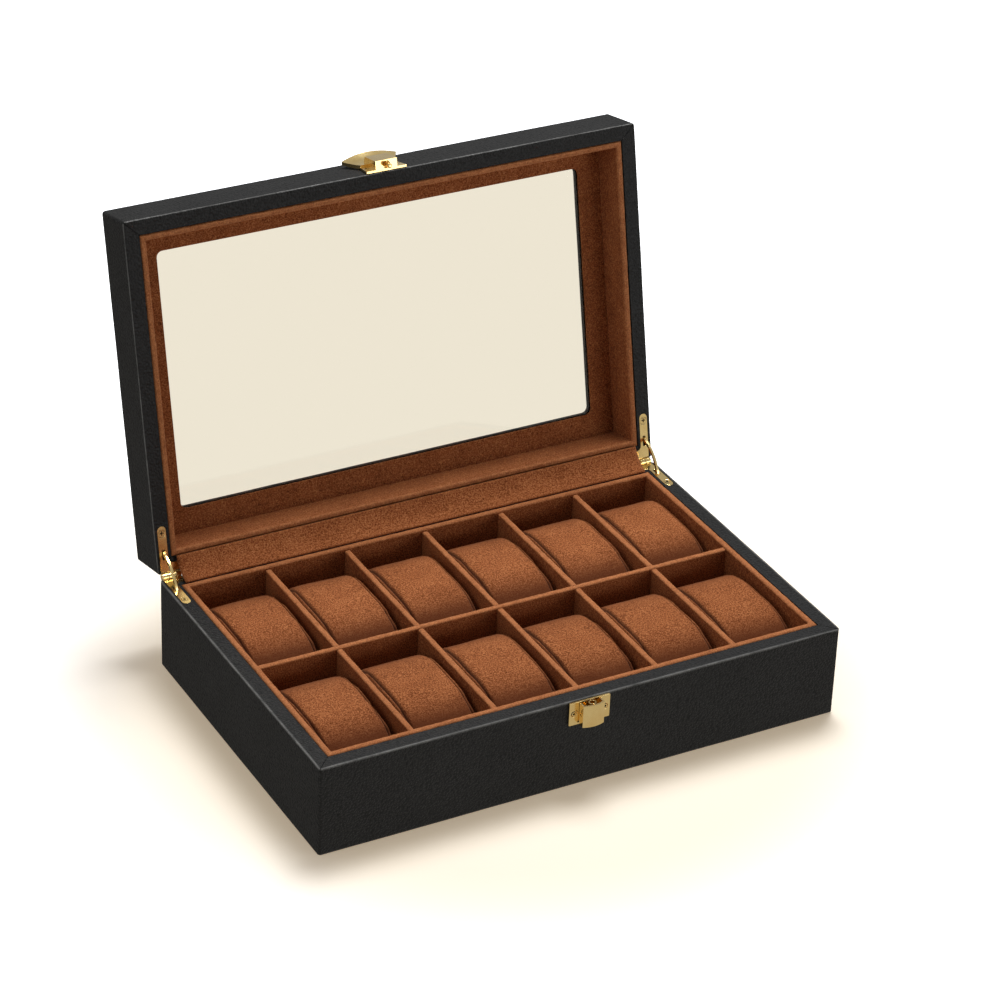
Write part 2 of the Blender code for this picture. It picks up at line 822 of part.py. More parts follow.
def make_lid_boards():
    low = lid_rim + skin
    high = window_board_low - CLEARANCE
    front = lid_piece(mitred_board("lid_front_board", "front", low, high), wood)
    cut(front, *latch_holes)
    back = lid_piece(mitred_board("lid_back_board", "back", low, high), wood)
    for label in sides:
        found = hinge_cutters[label]
        wall = lid_piece(mitred_board(f"lid_{label}_board", label, low, high), wood)
        cut(wall, found["lid_recess"], found["lid_pocket"], found["lid_hole"])
        cut(back, found["lid_recess"], found["lid_pocket"])


def make_window():
    """The top board is rebated from beneath for the glass, which the suede lining holds in."""
    opening = box_outline(window_inset - skin, WINDOW_CORNER + skin)
    board = lid_piece(
        prism("window_board", [box_outline(skin, CLEARANCE), opening], window_board_low, window_board_high),
        wood,
    )
    rebate = box_outline(window_inset - GLASS_REBATE, WINDOW_CORNER)
    rebate_high = glass_high + CLEARANCE
    cut(board, lid_helper(prism("glass_rebate", [rebate], window_board_low - OVERRUN, rebate_high)))
    pane = box_outline(window_inset - GLASS_REBATE + CLEARANCE, WINDOW_CORNER)
    lid_piece(prism("window_glass", [pane], glass_low, glass_high), glass)
    frame = [box_outline(lining_outside, LINING_CORNER), box_outline(window_inset, WINDOW_CORNER)]
    lid_piece(prism("window_lining", frame, window_lining_low, window_lining_high), suede)


def make_lid_skin():
    """Leather over the sides, in over the rim, over the top and down the window's edge to the glass."""
    window = box_outline(window_inset, WINDOW_CORNER)
    whole = prism("lid_leather", [box_outline(0, LEATHER_CORNER), window], lid_rim, lid_top)
    round_edges(whole, LEATHER_EDGE)
    collar = box_outline(window_inset - LEATHER, WINDOW_CORNER + LEATHER)
    board_room = lid_helper(
        prism(
            "lid_board_room",
            [box_outline(LEATHER, CLEARANCE), collar],
            lid_rim + LEATHER,
            lid_top - LEATHER,
        )
    )
    inside = lid_helper(
        prism("lid_inside", [box_outline(board_inside, CLEARANCE)], lid_rim - OVERRUN, glass_high + CLEARANCE)
    )
    cut(lid_piece(whole, leather), board_room, inside, *latch_holes)
    for label in sides:
        found = hinge_cutters[label]
        cut(whole, found["lid_recess"], found["lid_notch"])


def make_lid_lining():
    rings = [box_outline(lining_outside, LINING_CORNER), box_outline(lining_inside, LINING_CORNER)]
    high = window_lining_low - CLEARANCE
    lid_piece(round_edges(prism("lid_lining", rings, lid_rim, high), LINING_EDGE), suede)


make_lid_boards()
make_window()
make_lid_skin()
make_lid_lining()


# Stop hinges


def make_leaf(label, side, part, low, own, other):
    """A leaf with its knuckles: own and other list the knuckles of this leaf and of its mate."""
    low_slot, high_slot = stay_slot(SLOT_PLAY)
    half_slot = STAY_THICKNESS / 2 + CLEARANCE
    middle = across(side, stay_inset)
    slot = rectangle((middle - half_slot, pin_y - high_slot), (middle + half_slot, pin_y - low_slot))
    put, seat = (helper, keep) if part == "base" else (lid_helper, lid_piece)
    leaf = seat(prism(f"{part}_leaf_{label}", [leaf_outline(side), slot], low, low + LEAF), brass)
    notch = BARREL_RADIUS + BARREL_PLAY
    for index in other:
        name = f"{part}_leaf_gap_{label}_{index}"
        cut(leaf, put(barrel_rod(name, side, knuckle_span(index), notch, CLEARANCE)))
    for index in own:
        name = f"{part}_knuckle_{label}_{index}"
        join(leaf, put(barrel_rod(name, side, knuckle_span(index), BARREL_RADIUS)))
    bore = (LEAF_INSET - OVERRUN, LEAF_INSET + barrel_length + OVERRUN)
    cut(leaf, put(barrel_rod(f"{part}_bore_{label}", side, bore, PIN_RADIUS + CLEARANCE)))
    cut(leaf, hinge_cutters[label][f"{part}_hole"])


def make_stay(label, side):
    """A flat bar bent to an arc, with a cross stop at each end, drawn level as in the shut box."""
    carrier = pivot(f"stay_pivot_{label}", (0, pin_y, pin_z))
    outline = arc((0, 0), stay_radius + STAY_BAR / 2, -stay_sweep, stay_sweep, ARC_STEPS)
    outline += arc((0, 0), stay_radius - STAY_BAR / 2, stay_sweep, -stay_sweep, ARC_STEPS)
    outline = [(pin_y - stay_centre - forward, pin_z + up) for forward, up in outline]
    middle = across(side, stay_inset)
    half = STAY_THICKNESS / 2
    bar = hang(keep(prism(f"stay_{label}", [outline], middle - half, middle + half, "side"), brass), carrier)
    forward, rise = stop_place()
    for end, way in (("base", -1), ("lid", 1)):
        start = (middle - STOP_LENGTH / 2, pin_y - forward, pin_z + way * rise)
        finish = (middle + STOP_LENGTH / 2, pin_y - forward, pin_z + way * rise)
        stop = rod(f"stay_stop_{label}_{end}", start, finish, STOP_RADIUS, PIN_SIDES)
        join(bar, hang(helper(stop), carrier))
    carrier.rotation_euler.x = -half_turn


def make_hinge(label, side):
    make_leaf(label, side, "base", BASE_HEIGHT - LEAF, base_knuckles, lid_knuckles)
    make_leaf(label, side, "lid", lid_rim, lid_knuckles, base_knuckles)
    span = (LEAF_INSET, LEAF_INSET + barrel_length)
    keep(barrel_rod(f"hinge_pin_{label}", side, span, PIN_RADIUS), brass)
    place = (across(side, stay_inset), pin_y - LEAF_SCREW_REACH)
    down = wood_screw(
        f"base_leaf_screw_{label}", (*place, BASE_HEIGHT), (0, 0, -1), SCREW_HEAD_RADIUS, SCREW_LENGTH
    )
    keep(down, brass)
    up = wood_screw(f"lid_leaf_screw_{label}", (*place, lid_rim), (0, 0, 1), SCREW_HEAD_RADIUS, SCREW_LENGTH)
    lid_piece(up, brass)
    make_stay(label, side)


for label, side in sides.items():
    make_hinge(label, side)


# Cloth cover over the hinge joint, drawn open


def make_hinge_cover():
    """A strip between the two linings' lips, mirrored about the half-open plane and sagging a little."""
    reach_x = inner_half_x - CLEARANCE
    start = Vector((COVER_REACH, lining_top + CLEARANCE + COVER_THICKNESS / 2 - pin_z))
    half_plane = Vector((math.cos(half_turn), math.sin(half_turn)))
    end = 2 * start.dot(half_plane) * half_plane - start
    pull = (start + end) / 2 - half_plane * 2 * COVER_SAG
    middle_line = []
    for step in range(ARC_STEPS + 1):
        share = step / ARC_STEPS
        middle_line.append((1 - share) ** 2 * start + 2 * share * (1 - share) * pull + share**2 * end)
    front = []
    back = []
    for index, point in enumerate(middle_line):
        ahead = middle_line[min(index + 1, ARC_STEPS)] - middle_line[max(index - 1, 0)]
        normal = Vector((-ahead.y, ahead.x)).normalized() * COVER_THICKNESS / 2
        front.append(point - normal)
        back.append(point + normal)
    outline = [(pin_y - point.x, pin_z + point.y) for point in front + back[::-1]]
    keep(prism("hinge_cover", [outline], -reach_x, reach_x, "side"), suede)


make_hinge_cover()


# Catch on the base


def make_catch_plate():
    half = CATCH_WIDTH / 2
    centre = (0, (catch_low + catch_high) / 2)
    outline = rounded_rectangle(half, CATCH_HEIGHT / 2, CATCH_CORNER, centre)
    plate = keep(prism("catch_plate", [outline], CLEARANCE, catch_face, "front"), brass)
    ear_high = HOOD_WIDTH / 2 - HOOD_SHEET - CLEARANCE
    ear_low = ear_high - EAR_THICKNESS
    ear = arc((0, 0), EAR_RADIUS, math.pi, 0, 2 * CORNER_STEPS)
    root = CATCH_PIN_OUT - catch_face + CATCH_PLATE / 2
    ear += [(EAR_RADIUS, -root), (-EAR_RADIUS, -root)]
    outline = [(catch_pin_y - out, catch_pin_z + along) for along, out in ear]
    for label, side in sides.items():
        low, high = sorted((side * ear_low, side * ear_high))
        join(plate, helper(prism(f"catch_ear_{label}", [outline], low, high, "side")))
    bore_start = (-HOOD_WIDTH, catch_pin_y, catch_pin_z)
    bore_end = (HOOD_WIDTH, catch_pin_y, catch_pin_z)
    bore = helper(rod("catch_bore", bore_start, bore_end, CATCH_PIN_RADIUS + CLEARANCE, PIN_SIDES))
    cut(plate, bore, *catch_holes)
    return bore


def make_socket():
    centre_y = -half_depth - socket_out
    tube = [
        arc((0, centre_y), SOCKET_RADIUS, 0, 2 * math.pi, ROUND_SIDES)[:-1],
        arc((0, centre_y), SOCKET_RADIUS - SOCKET_WALL, 0, 2 * math.pi, ROUND_SIDES)[:-1],
    ]
    socket = keep(prism("catch_socket", tube, socket_low, socket_high), brass)
    half = TONGUE_WIDTH / 2 + CLEARANCE
    low = (-half, centre_y - SOCKET_RADIUS - OVERRUN, tongue_low - TONGUE_PLAY)
    cut(socket, helper(block("tongue_slot", low, (half, centre_y, tongue_high + CLEARANCE))))


def hood_outline():
    """U of sheet seen from above, with its bulged front: points run across the front, outside then inside."""
    half = HOOD_WIDTH / 2
    outer = []
    inner = []
    for step in range(ARC_STEPS + 1):
        across_share = 2 * step / ARC_STEPS - 1
        bulge = HOOD_BULGE * (1 - across_share**2)
        outer.append((half * across_share, hood_front - HOOD_BULGE + bulge))
        inner.append(((half - HOOD_SHEET) * across_share, hood_front - HOOD_BULGE - HOOD_SHEET + bulge))
    points = [(-half, hood_back), *outer, (half, hood_back), (half - HOOD_SHEET, hood_back)]
    points += [*inner[::-1], (HOOD_SHEET - half, hood_back)]
    return [(x, -half_depth - out) for x, out in points]


def make_lever(bore):
    """The hood is the thumb press: pressed at the bottom, it turns and draws the tongue out of the stud."""
    carrier = pivot("catch_lever_pivot", (0, catch_pin_y, catch_pin_z))
    hood = hang(keep(prism("catch_lever", [hood_outline()], hood_low, hood_top), brass), carrier)
    below = catch_pin_z - hood_low
    relief = below * math.tan(math.radians(LEVER_ANGLE)) + CLEARANCE
    back_y = -half_depth - hood_back
    wedge = [
        (back_y + OVERRUN, catch_pin_z),
        (back_y, catch_pin_z),
        (back_y - relief, hood_low - OVERRUN),
        (back_y + OVERRUN, hood_low - OVERRUN),
    ]
    cut(hood, hang(helper(prism("lever_relief", [wedge], -HOOD_WIDTH, HOOD_WIDTH, "side")), carrier), bore)
    neck_front = socket_out + STUD_NECK_RADIUS + CLEARANCE
    low = (-TONGUE_WIDTH / 2, -half_depth - hood_front + HOOD_SHEET / 2, tongue_low)
    high = (TONGUE_WIDTH / 2, -half_depth - neck_front, tongue_high)
    join(hood, hang(helper(block("lever_tongue", low, high)), carrier))


def make_catch_spring():
    """A bent leaf: it stands on the plate and leans out to the hood's inside, clear by the lever's travel."""
    foot_high = catch_pin_z - EAR_RADIUS
    tip_low = hood_low + HOOD_SHEET
    foot_out = catch_face + CLEARANCE
    tip_out = foot_out + SPRING_RISE
    bend = foot_high - SPRING_RISE
    outline = [
        (foot_out, foot_high),
        (foot_out, bend),
        (tip_out, tip_low),
        (tip_out + SPRING_SHEET, tip_low),
        (foot_out + SPRING_SHEET, bend),
        (foot_out + SPRING_SHEET, foot_high),
    ]
    outline = [(-half_depth - out, z) for out, z in outline]
    keep(prism("catch_spring", [outline], -SPRING_WIDTH / 2, SPRING_WIDTH / 2, "side"), brass)


def make_catch():
    bore = make_catch_plate()
    make_socket()
    make_lever(bore)
    pin_half = HOOD_WIDTH / 2 - CLEARANCE
    start = (-pin_half, catch_pin_y, catch_pin_z)
    end = (pin_half, catch_pin_y, catch_pin_z)
    keep(rod("catch_pin", start, end, CATCH_PIN_RADIUS, PIN_SIDES), brass)
    make_catch_spring()
    for label, head in catch_screw_heads.items():
        name = f"catch_screw_{label}"
        keep(wood_screw(name, head, (0, 1, 0), SMALL_SCREW_HEAD_RADIUS, SMALL_SCREW_LENGTH), brass)


make_catch()


# Latch on the lid, drawn shut


def fan_lift():
    """The finger lift: a sheet that widens upwards and arches out from the lid, with a bowed far edge."""
    bm = bmesh.new()
    bmesh.ops.create_grid(bm, x_segments=ARC_STEPS, y_segments=CORNER_STEPS, size=1)
    narrow = LATCH_WIDTH / 2 - LATCH_TAPER
    base_out = 2 * CLEARANCE + FAN_SHEET / 2
    for vert in bm.verts:
        sweep_share = vert.co.x
        rise_share = (vert.co.y + 1) / 2
        bow = 1 - sweep_share**2
        half = narrow + (FAN_WIDTH / 2 - narrow) * rise_share
        height = FAN_START + (FAN_LENGTH - FAN_START) * rise_share + FAN_BULGE * bow * rise_share
        out = base_out + (FAN_ARCH * bow + FAN_SHEET / 2) * rise_share**2
        vert.co = (half * sweep_share, -half_depth - out, latch_low + height)
    made = bpy.data.objects.new("latch_fan", closed_mesh(bm, "latch_fan"))
    wall = made.modifiers.new("sheet", "SOLIDIFY")
    wall.thickness = FAN_SHEET
    wall.offset = 0
    return made


def make_latch():
    wide = LATCH_WIDTH / 2
    narrow = wide - LATCH_TAPER
    high = latch_low + LATCH_HEIGHT
    outline = [(-wide, latch_low), (wide, latch_low), (narrow, high), (-narrow, high)]
    plate = lid_piece(prism("latch_plate", [outline], CLEARANCE, CLEARANCE + LATCH_PLATE, "front"), brass)
    half = LATCH_HOOD_WIDTH / 2
    back = CLEARANCE + LATCH_PLATE / 2
    hood = [
        (-half_depth - back, latch_low),
        (-half_depth - LATCH_HOOD_REACH, latch_low),
        (-half_depth - LATCH_HOOD_REACH, latch_low + LATCH_HEIGHT),
        (-half_depth - back, latch_low + LATCH_HOOD_LENGTH),
    ]
    join(plate, lid_helper(prism("latch_hood", [hood], -half, half, "side")), lid_helper(fan_lift()))
    stud_y = -half_depth - socket_out
    recess_top = latch_low + LATCH_RECESS_DEPTH
    mouth = (0, stud_y, latch_low - OVERRUN)
    recess = rod("latch_recess", mouth, (0, stud_y, recess_top), LATCH_RECESS_RADIUS)
    seat_top = (0, stud_y, recess_top + STUD_FOOT + CLEARANCE)
    seat = rod("stud_seat", (0, stud_y, latch_low), seat_top, STUD_RADIUS + CLEARANCE)
    cut(plate, lid_helper(recess), lid_helper(seat), *latch_holes)
    neck_low = tongue_low - CLEARANCE
    neck_high = tongue_high + CLEARANCE
    stud_low = neck_low - STUD_HEAD
    profile = [
        (0, recess_top + STUD_FOOT - stud_low),
        (STUD_RADIUS, recess_top + STUD_FOOT - stud_low),
        (STUD_RADIUS, neck_high - stud_low),
        (STUD_NECK_RADIUS, neck_high - stud_low),
        (STUD_NECK_RADIUS, neck_low - stud_low),
        (STUD_RADIUS, neck_low - stud_low),
        (STUD_RADIUS, STUD_HEAD / 2),
        (STUD_RADIUS / 2, 0),
        (0, 0),
    ]
    lid_piece(turned("latch_stud", profile, (0, stud_y, stud_low), (0, 0, 1)), brass)
    for label, head in latch_screw_heads.items():
        name = f"latch_screw_{label}"
        lid_piece(wood_screw(name, head, (0, 1, 0), SMALL_SCREW_HEAD_RADIUS, SMALL_SCREW_LENGTH), brass)


make_latch()

lid_pivot.rotation_euler.x = -open_turn
bpy.context.view_layer.update()
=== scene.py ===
import json
import math

import bmesh
import bpy
from mathutils import Matrix, Vector, noise


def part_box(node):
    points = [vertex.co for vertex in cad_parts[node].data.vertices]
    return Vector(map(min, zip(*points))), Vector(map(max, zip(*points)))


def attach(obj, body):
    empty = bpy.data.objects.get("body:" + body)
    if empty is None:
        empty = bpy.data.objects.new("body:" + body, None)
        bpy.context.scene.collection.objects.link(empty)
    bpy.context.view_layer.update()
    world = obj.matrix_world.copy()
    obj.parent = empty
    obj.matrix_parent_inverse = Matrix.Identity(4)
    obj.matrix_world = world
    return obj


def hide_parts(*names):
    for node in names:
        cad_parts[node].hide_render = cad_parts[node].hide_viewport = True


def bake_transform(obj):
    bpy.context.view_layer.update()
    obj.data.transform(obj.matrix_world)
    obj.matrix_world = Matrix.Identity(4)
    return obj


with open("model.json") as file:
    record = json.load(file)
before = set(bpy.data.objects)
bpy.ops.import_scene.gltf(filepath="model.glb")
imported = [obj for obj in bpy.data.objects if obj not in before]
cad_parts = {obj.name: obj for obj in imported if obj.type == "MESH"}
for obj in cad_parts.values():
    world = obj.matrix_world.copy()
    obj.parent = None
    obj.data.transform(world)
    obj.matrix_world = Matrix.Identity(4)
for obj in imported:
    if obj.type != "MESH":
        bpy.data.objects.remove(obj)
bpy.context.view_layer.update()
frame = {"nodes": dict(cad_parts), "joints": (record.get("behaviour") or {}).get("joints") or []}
mm = 0.001
tiny = 0.00002  # welding distance for the copied meshes

print("watch box: frame loaded")


# Frame values that most pieces need

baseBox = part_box("base_leather")
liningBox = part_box("base_lining")
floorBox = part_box("floor_lining")
halfWidth, halfDepth, rimHeight = baseBox[1]
identity = Matrix.Identity(4)

lidJoint = next(joint for joint in frame["joints"] if joint["name"] == "lid_hinge")
lidPin = Vector(lidJoint["pos_m"])
lidTurn = math.radians(-lidJoint["range_deg"][0])
lidOpening = Matrix.Rotation(-lidTurn, 4, "X")  # takes the shut lid to its open place
lidPlace = Matrix.Translation(lidPin) @ lidOpening @ Matrix.Translation(-lidPin)


def shutBox(node):
    # a lid node's box with the lid turned shut
    back = lidPlace.inverted()
    points = [back @ vert.co for vert in frame["nodes"][node].data.vertices]
    low = Vector(min(point[axis] for point in points) for axis in range(3))
    high = Vector(max(point[axis] for point in points) for axis in range(3))
    return low, high


# Camera, fitted to the box's corners in the photograph

cameraSet = {
    "turn": 29.51,
    "tilt": 30.41,
    "roll": 2.43,
    "distance": 1.933,
    "sideways": -0.0013,
    "upwards": 0.0992,
    "focalPixels": 3655,
    "imagePixels": 1001,
    "sensor": 36,
}


def makeCamera():
    turn, tilt, roll = (math.radians(cameraSet[key]) for key in ("turn", "tilt", "roll"))
    ahead = Vector((math.sin(turn) * math.cos(tilt), math.cos(turn) * math.cos(tilt), -math.sin(tilt)))
    right = Vector((math.cos(turn), -math.sin(turn), 0))
    up = right.cross(ahead)
    across = right * math.cos(roll) + up * math.sin(roll)
    upright = up * math.cos(roll) - right * math.sin(roll)
    place = right * cameraSet["sideways"] + up * cameraSet["upwards"] - ahead * cameraSet["distance"]
    data = bpy.data.cameras.new("photoCamera")
    data.sensor_width = cameraSet["sensor"]
    data.lens = cameraSet["sensor"] * cameraSet["focalPixels"] / cameraSet["imagePixels"]
    camera = bpy.data.objects.new("photoCamera", data)
    matrix = Matrix((across, upright, -ahead)).transposed().to_4x4()
    matrix.translation = place
    camera.matrix_world = matrix
    bpy.context.scene.collection.objects.link(camera)
    bpy.context.scene.camera = camera


makeCamera()
bpy.context.scene.view_settings.view_transform = "Standard"
print("watch box: camera placed")


# Shader helpers and the groups that several finishes share


def addNode(tree, kind, **values):
    node = tree.nodes.new(kind)
    for key, value in values.items():
        setattr(node, key, value)
    return node


def fill(socket, value):
    # links the socket to an output, or writes a plain value into it
    if isinstance(value, bpy.types.NodeSocket):
        socket.id_data.links.new(value, socket)
    else:
        socket.default_value = value


def feed(node, *values):
    # fills the inputs in their order
    for socket, value in zip(node.inputs, values):
        if value is not None:
            fill(socket, value)
    return node.outputs[0]


def setInputs(node, **values):
    # fills the inputs by name; a list gives one input several links
    for key, value in values.items():
        for part in value if isinstance(value, list) else [value]:
            fill(node.inputs[key.replace("_", " ")], part)
    return node


def newTree(kind, name, inputs, outputs):
    # an input is given by its default, or by its kind where it has none
    tree = bpy.data.node_groups.new(name, kind)
    for label, value in inputs.items():
        plain = {int: "Int", float: "Float"}.get(type(value), value)
        socket = tree.interface.new_socket(name=label, in_out="INPUT", socket_type=f"NodeSocket{plain}")
        if plain != value:
            socket.default_value = value
    for label, plain in outputs.items():
        tree.interface.new_socket(name=label, in_out="OUTPUT", socket_type=f"NodeSocket{plain}")
    return tree, tree.nodes.new("NodeGroupInput").outputs, tree.nodes.new("NodeGroupOutput")


def newGroup(name, inputs, *outputs):
    return newTree("ShaderNodeTree", name, {"Vector": "Vector", **inputs}, dict.fromkeys(outputs, "Float"))


def mathNode(tree, operation, first, second=None, clamp=False):
    return feed(addNode(tree, "ShaderNodeMath", operation=operation, use_clamp=clamp), first, second)


def noiseNode(tree, vector, scale, detail=3.0, roughness=0.55):
    node = addNode(tree, "ShaderNodeTexNoise")
    return setInputs(node, Vector=vector, Scale=scale, Detail=detail, Roughness=roughness).outputs["Fac"]


def stretched(tree, vector, scale):
    return setInputs(addNode(tree, "ShaderNodeMapping"), Vector=vector, Scale=scale).outputs[0]


def attributeNode(tree, name):
    return addNode(tree, "ShaderNodeAttribute", attribute_name=name).outputs["Fac"]


def centred(tree, value, gain):
    # turns a 0 to 1 texture into a swing about nought
    return mathNode(tree, "MULTIPLY", mathNode(tree, "SUBTRACT", value, 0.5), gain)


napSet = {
    "patchScale": 75.0,
    "patchContrast": 0.28,
    "hairFineness": 3.3,  # how much finer the single hairs are than the tufts
    "hairContrast": 0.35,
    "hairHeight": 0.4,
}


def makeNapGroup():
    # brushed nap: fine tufts, finger-wide patches and single hairs
    inputs = {
        "Tuft Scale": 1150.0,
        "Patch Scale": napSet["patchScale"],
        "Tuft Contrast": 1.0,
        "Patch Contrast": napSet["patchContrast"],
    }
    group, given, result = newGroup("suedeNap", inputs, "Shade", "Height")
    vector = given["Vector"]
    tuft = noiseNode(group, vector, given["Tuft Scale"], 2.5, 0.7)
    patch = noiseNode(group, vector, given["Patch Scale"], 3.0, 0.5)
    fineScale = mathNode(group, "MULTIPLY", given["Tuft Scale"], napSet["hairFineness"])
    hair = noiseNode(group, vector, fineScale, 1.0, 0.5)
    shade = mathNode(group, "ADD", centred(group, tuft, given["Tuft Contrast"]), 0.5)
    shade = mathNode(group, "ADD", shade, centred(group, patch, given["Patch Contrast"]))
    shade = mathNode(group, "ADD", shade, centred(group, hair, napSet["hairContrast"]), clamp=True)
    height = mathNode(group, "ADD", tuft, mathNode(group, "MULTIPLY", hair, napSet["hairHeight"]))
    setInputs(result, Shade=shade, Height=height)
    return group


pebbleSet = {
    "scale": 900.0,
    "wanderScale": 420.0,
    "wanderBy": 0.9 * mm,  # how far the cells are pushed out of line
    "softness": 0.55,
    "poreScale": 2600.0,
    "poreHeight": 0.25,
    "toneScale": 38.0,
}


def makePebbleGroup():
    # pebbled leather: domed cells of unlike size, with pores between them
    inputs = {"Pebble Scale": pebbleSet["scale"]}
    group, given, result = newGroup("leatherPebble", inputs, "Height", "Valley", "Tone")
    vector = given["Vector"]
    wander = addNode(group, "ShaderNodeTexNoise")
    setInputs(wander, Vector=vector, Scale=pebbleSet["wanderScale"], Detail=2.0)
    shift = addNode(group, "ShaderNodeVectorMath", operation="MULTIPLY_ADD")
    pushed = feed(shift, wander.outputs["Color"], (pebbleSet["wanderBy"],) * 3, vector)
    cells = addNode(group, "ShaderNodeTexVoronoi", feature="SMOOTH_F1")
    setInputs(cells, Vector=pushed, Scale=given["Pebble Scale"], Smoothness=pebbleSet["softness"])
    distance = cells.outputs["Distance"]
    dome = mathNode(group, "SUBTRACT", 1.0, distance, clamp=True)
    pores = noiseNode(group, vector, pebbleSet["poreScale"], 2.0, 0.6)
    height = mathNode(group, "ADD", dome, mathNode(group, "MULTIPLY", pores, pebbleSet["poreHeight"]))
    valley = mathNode(group, "POWER", distance, 2.0, clamp=True)
    tone = noiseNode(group, vector, pebbleSet["toneScale"], 3.0, 0.5)
    setInputs(result, Height=height, Valley=valley, Tone=tone)
    return group


def makeWearHighlightGroup():
    # where hands and cloths rub a piece lighter, together with a painted highlight along lit edges and
    # lips: the piece's own values, broken up unevenly
    group, given, result = newGroup("rubbedEdge", {"Amount": 1.0, "Breakup Scale": 180.0}, "Mask")
    uneven = noiseNode(group, given["Vector"], given["Breakup Scale"], 3.0, 0.6)
    uneven = mathNode(group, "ADD", mathNode(group, "MULTIPLY", uneven, 1.2), -0.05, clamp=True)
    mask = mathNode(group, "MULTIPLY", attributeNode(group, "rub"), uneven)
    setInputs(result, Mask=mathNode(group, "MULTIPLY", mask, given["Amount"], clamp=True))
    return group


def makePolishGroup():
    # polishing marks: noise drawn out along one direction, and a faint cloudiness
    group, given, result = newGroup("polishMarks", {"Mark Scale": 900.0}, "Marks", "Cloud")
    drawn = stretched(group, given["Vector"], (0.12, 1.0, 1.0))
    marks = noiseNode(group, drawn, given["Mark Scale"], 3.0, 0.6)
    setInputs(result, Marks=marks, Cloud=noiseNode(group, given["Vector"], 140.0, 2.0, 0.5))
    return group


napGroup = makeNapGroup()
pebbleGroup = makePebbleGroup()
wearHighlightGroup = makeWearHighlightGroup()
polishGroup = makePolishGroup()


def startMaterial(name):
    made = bpy.data.materials.new(name)
    made.use_nodes = True
    tree = made.node_tree
    return made, tree, tree.nodes["Principled BSDF"], addNode(tree, "ShaderNodeTexCoord").outputs["Object"]


def useGroup(tree, group, vector, **values):
    return setInputs(addNode(tree, "ShaderNodeGroup", node_tree=group), Vector=vector, **values).outputs


def rampNode(tree, value, *stops):
    node = addNode(tree, "ShaderNodeValToRGB")
    ramp = node.color_ramp
    while len(ramp.elements) < len(stops):
        ramp.elements.new(0.5)
    for element, (place, colour) in zip(ramp.elements, stops):
        element.position = place
        element.color = (*colour, 1)
    return feed(node, value)


def mixColour(tree, mask, first, second):
    node = addNode(tree, "ShaderNodeMix", data_type="RGBA")
    fill(node.inputs["Factor"], mask)
    for index, colour in ((6, first), (7, second)):
        fill(node.inputs[index], (*colour, 1) if isinstance(colour, tuple) else colour)
    return node.outputs[2]


def bumpNode(tree, height, strength, distance):
    node = addNode(tree, "ShaderNodeBump")
    return setInputs(node, Strength=strength, Distance=distance, Height=height).outputs["Normal"]


def rangeNode(tree, value, low, high, start=0.0, end=1.0, **settings):
    # value runs from start to end, and what comes out from low to high
    return feed(addNode(tree, "ShaderNodeMapRange", **settings), value, start, end, low, high)


suedeSet = {
    "dark": (0.100, 0.024, 0.006),
    "middle": (0.300, 0.088, 0.026),
    "light": (0.520, 0.195, 0.072),
    "rubbed": (0.600, 0.250, 0.105),
    "stitched": (0.050, 0.012, 0.003),
    "pressed": 0.88,  # how far the painted shade darkens the suede where the cushion lies low or at its ends
    "roughness": (0.98, 0.86),
    "bump": (0.5, 0.35 * mm),
    "gloss": 0.15,
    "sheen": 0.16,
    "sheenRoughness": 0.55,
    "sheenTint": (0.95, 0.52, 0.28, 1),
}


def makeSuede(name, tuftScale=1300.0, tuftContrast=2.0):
    made, tree, shader, vector = startMaterial(name)
    nap = useGroup(tree, napGroup, vector, Tuft_Scale=tuftScale, Tuft_Contrast=tuftContrast)
    rub = useGroup(tree, wearHighlightGroup, vector, Amount=0.55, Breakup_Scale=260.0)
    shades = [suedeSet[key] for key in ("dark", "middle", "light")]
    colour = rampNode(tree, nap["Shade"], *zip((0.15, 0.5, 0.88), shades))
    # lighter where rubbed: partly wear, partly a painted highlight on lit edges and lips
    colour = mixColour(tree, rub["Mask"], colour, suedeSet["rubbed"])
    # painted shade: the cushion's suede is darkened where it lies low and towards its ends
    pressed = mathNode(tree, "MULTIPLY", attributeNode(tree, "tuck"), suedeSet["pressed"])
    colour = mixColour(tree, pressed, colour, suedeSet["dark"])
    setInputs(
        shader,
        # the seam line is darker: the stitched joint, and painted shade in its groove
        Base_Color=mixColour(tree, attributeNode(tree, "seam"), colour, suedeSet["stitched"]),
        Roughness=rangeNode(tree, nap["Shade"], *suedeSet["roughness"]),
        Normal=bumpNode(tree, nap["Height"], *suedeSet["bump"]),
        Specular_IOR_Level=suedeSet["gloss"],
        Sheen_Weight=suedeSet["sheen"],
        Sheen_Roughness=suedeSet["sheenRoughness"],
        Sheen_Tint=suedeSet["sheenTint"],
    )
    return made


leatherSet = {
    "deep": (0.0020, 0.0020, 0.0022),
    "body": (0.0085, 0.0085, 0.0085),
    "pale": (0.0200, 0.0200, 0.0198),
    "worn": (0.420, 0.415, 0.400),
    "creased": (0.002, 0.002, 0.002),
    "roughness": (0.48, 0.34),
    "turned": (0.25, 0.50),  # from facing this far away to facing that far away it turns matt
    "matt": 0.36,
    "gloss": 0.22,
    "bump": (1.0, 0.45 * mm),
}


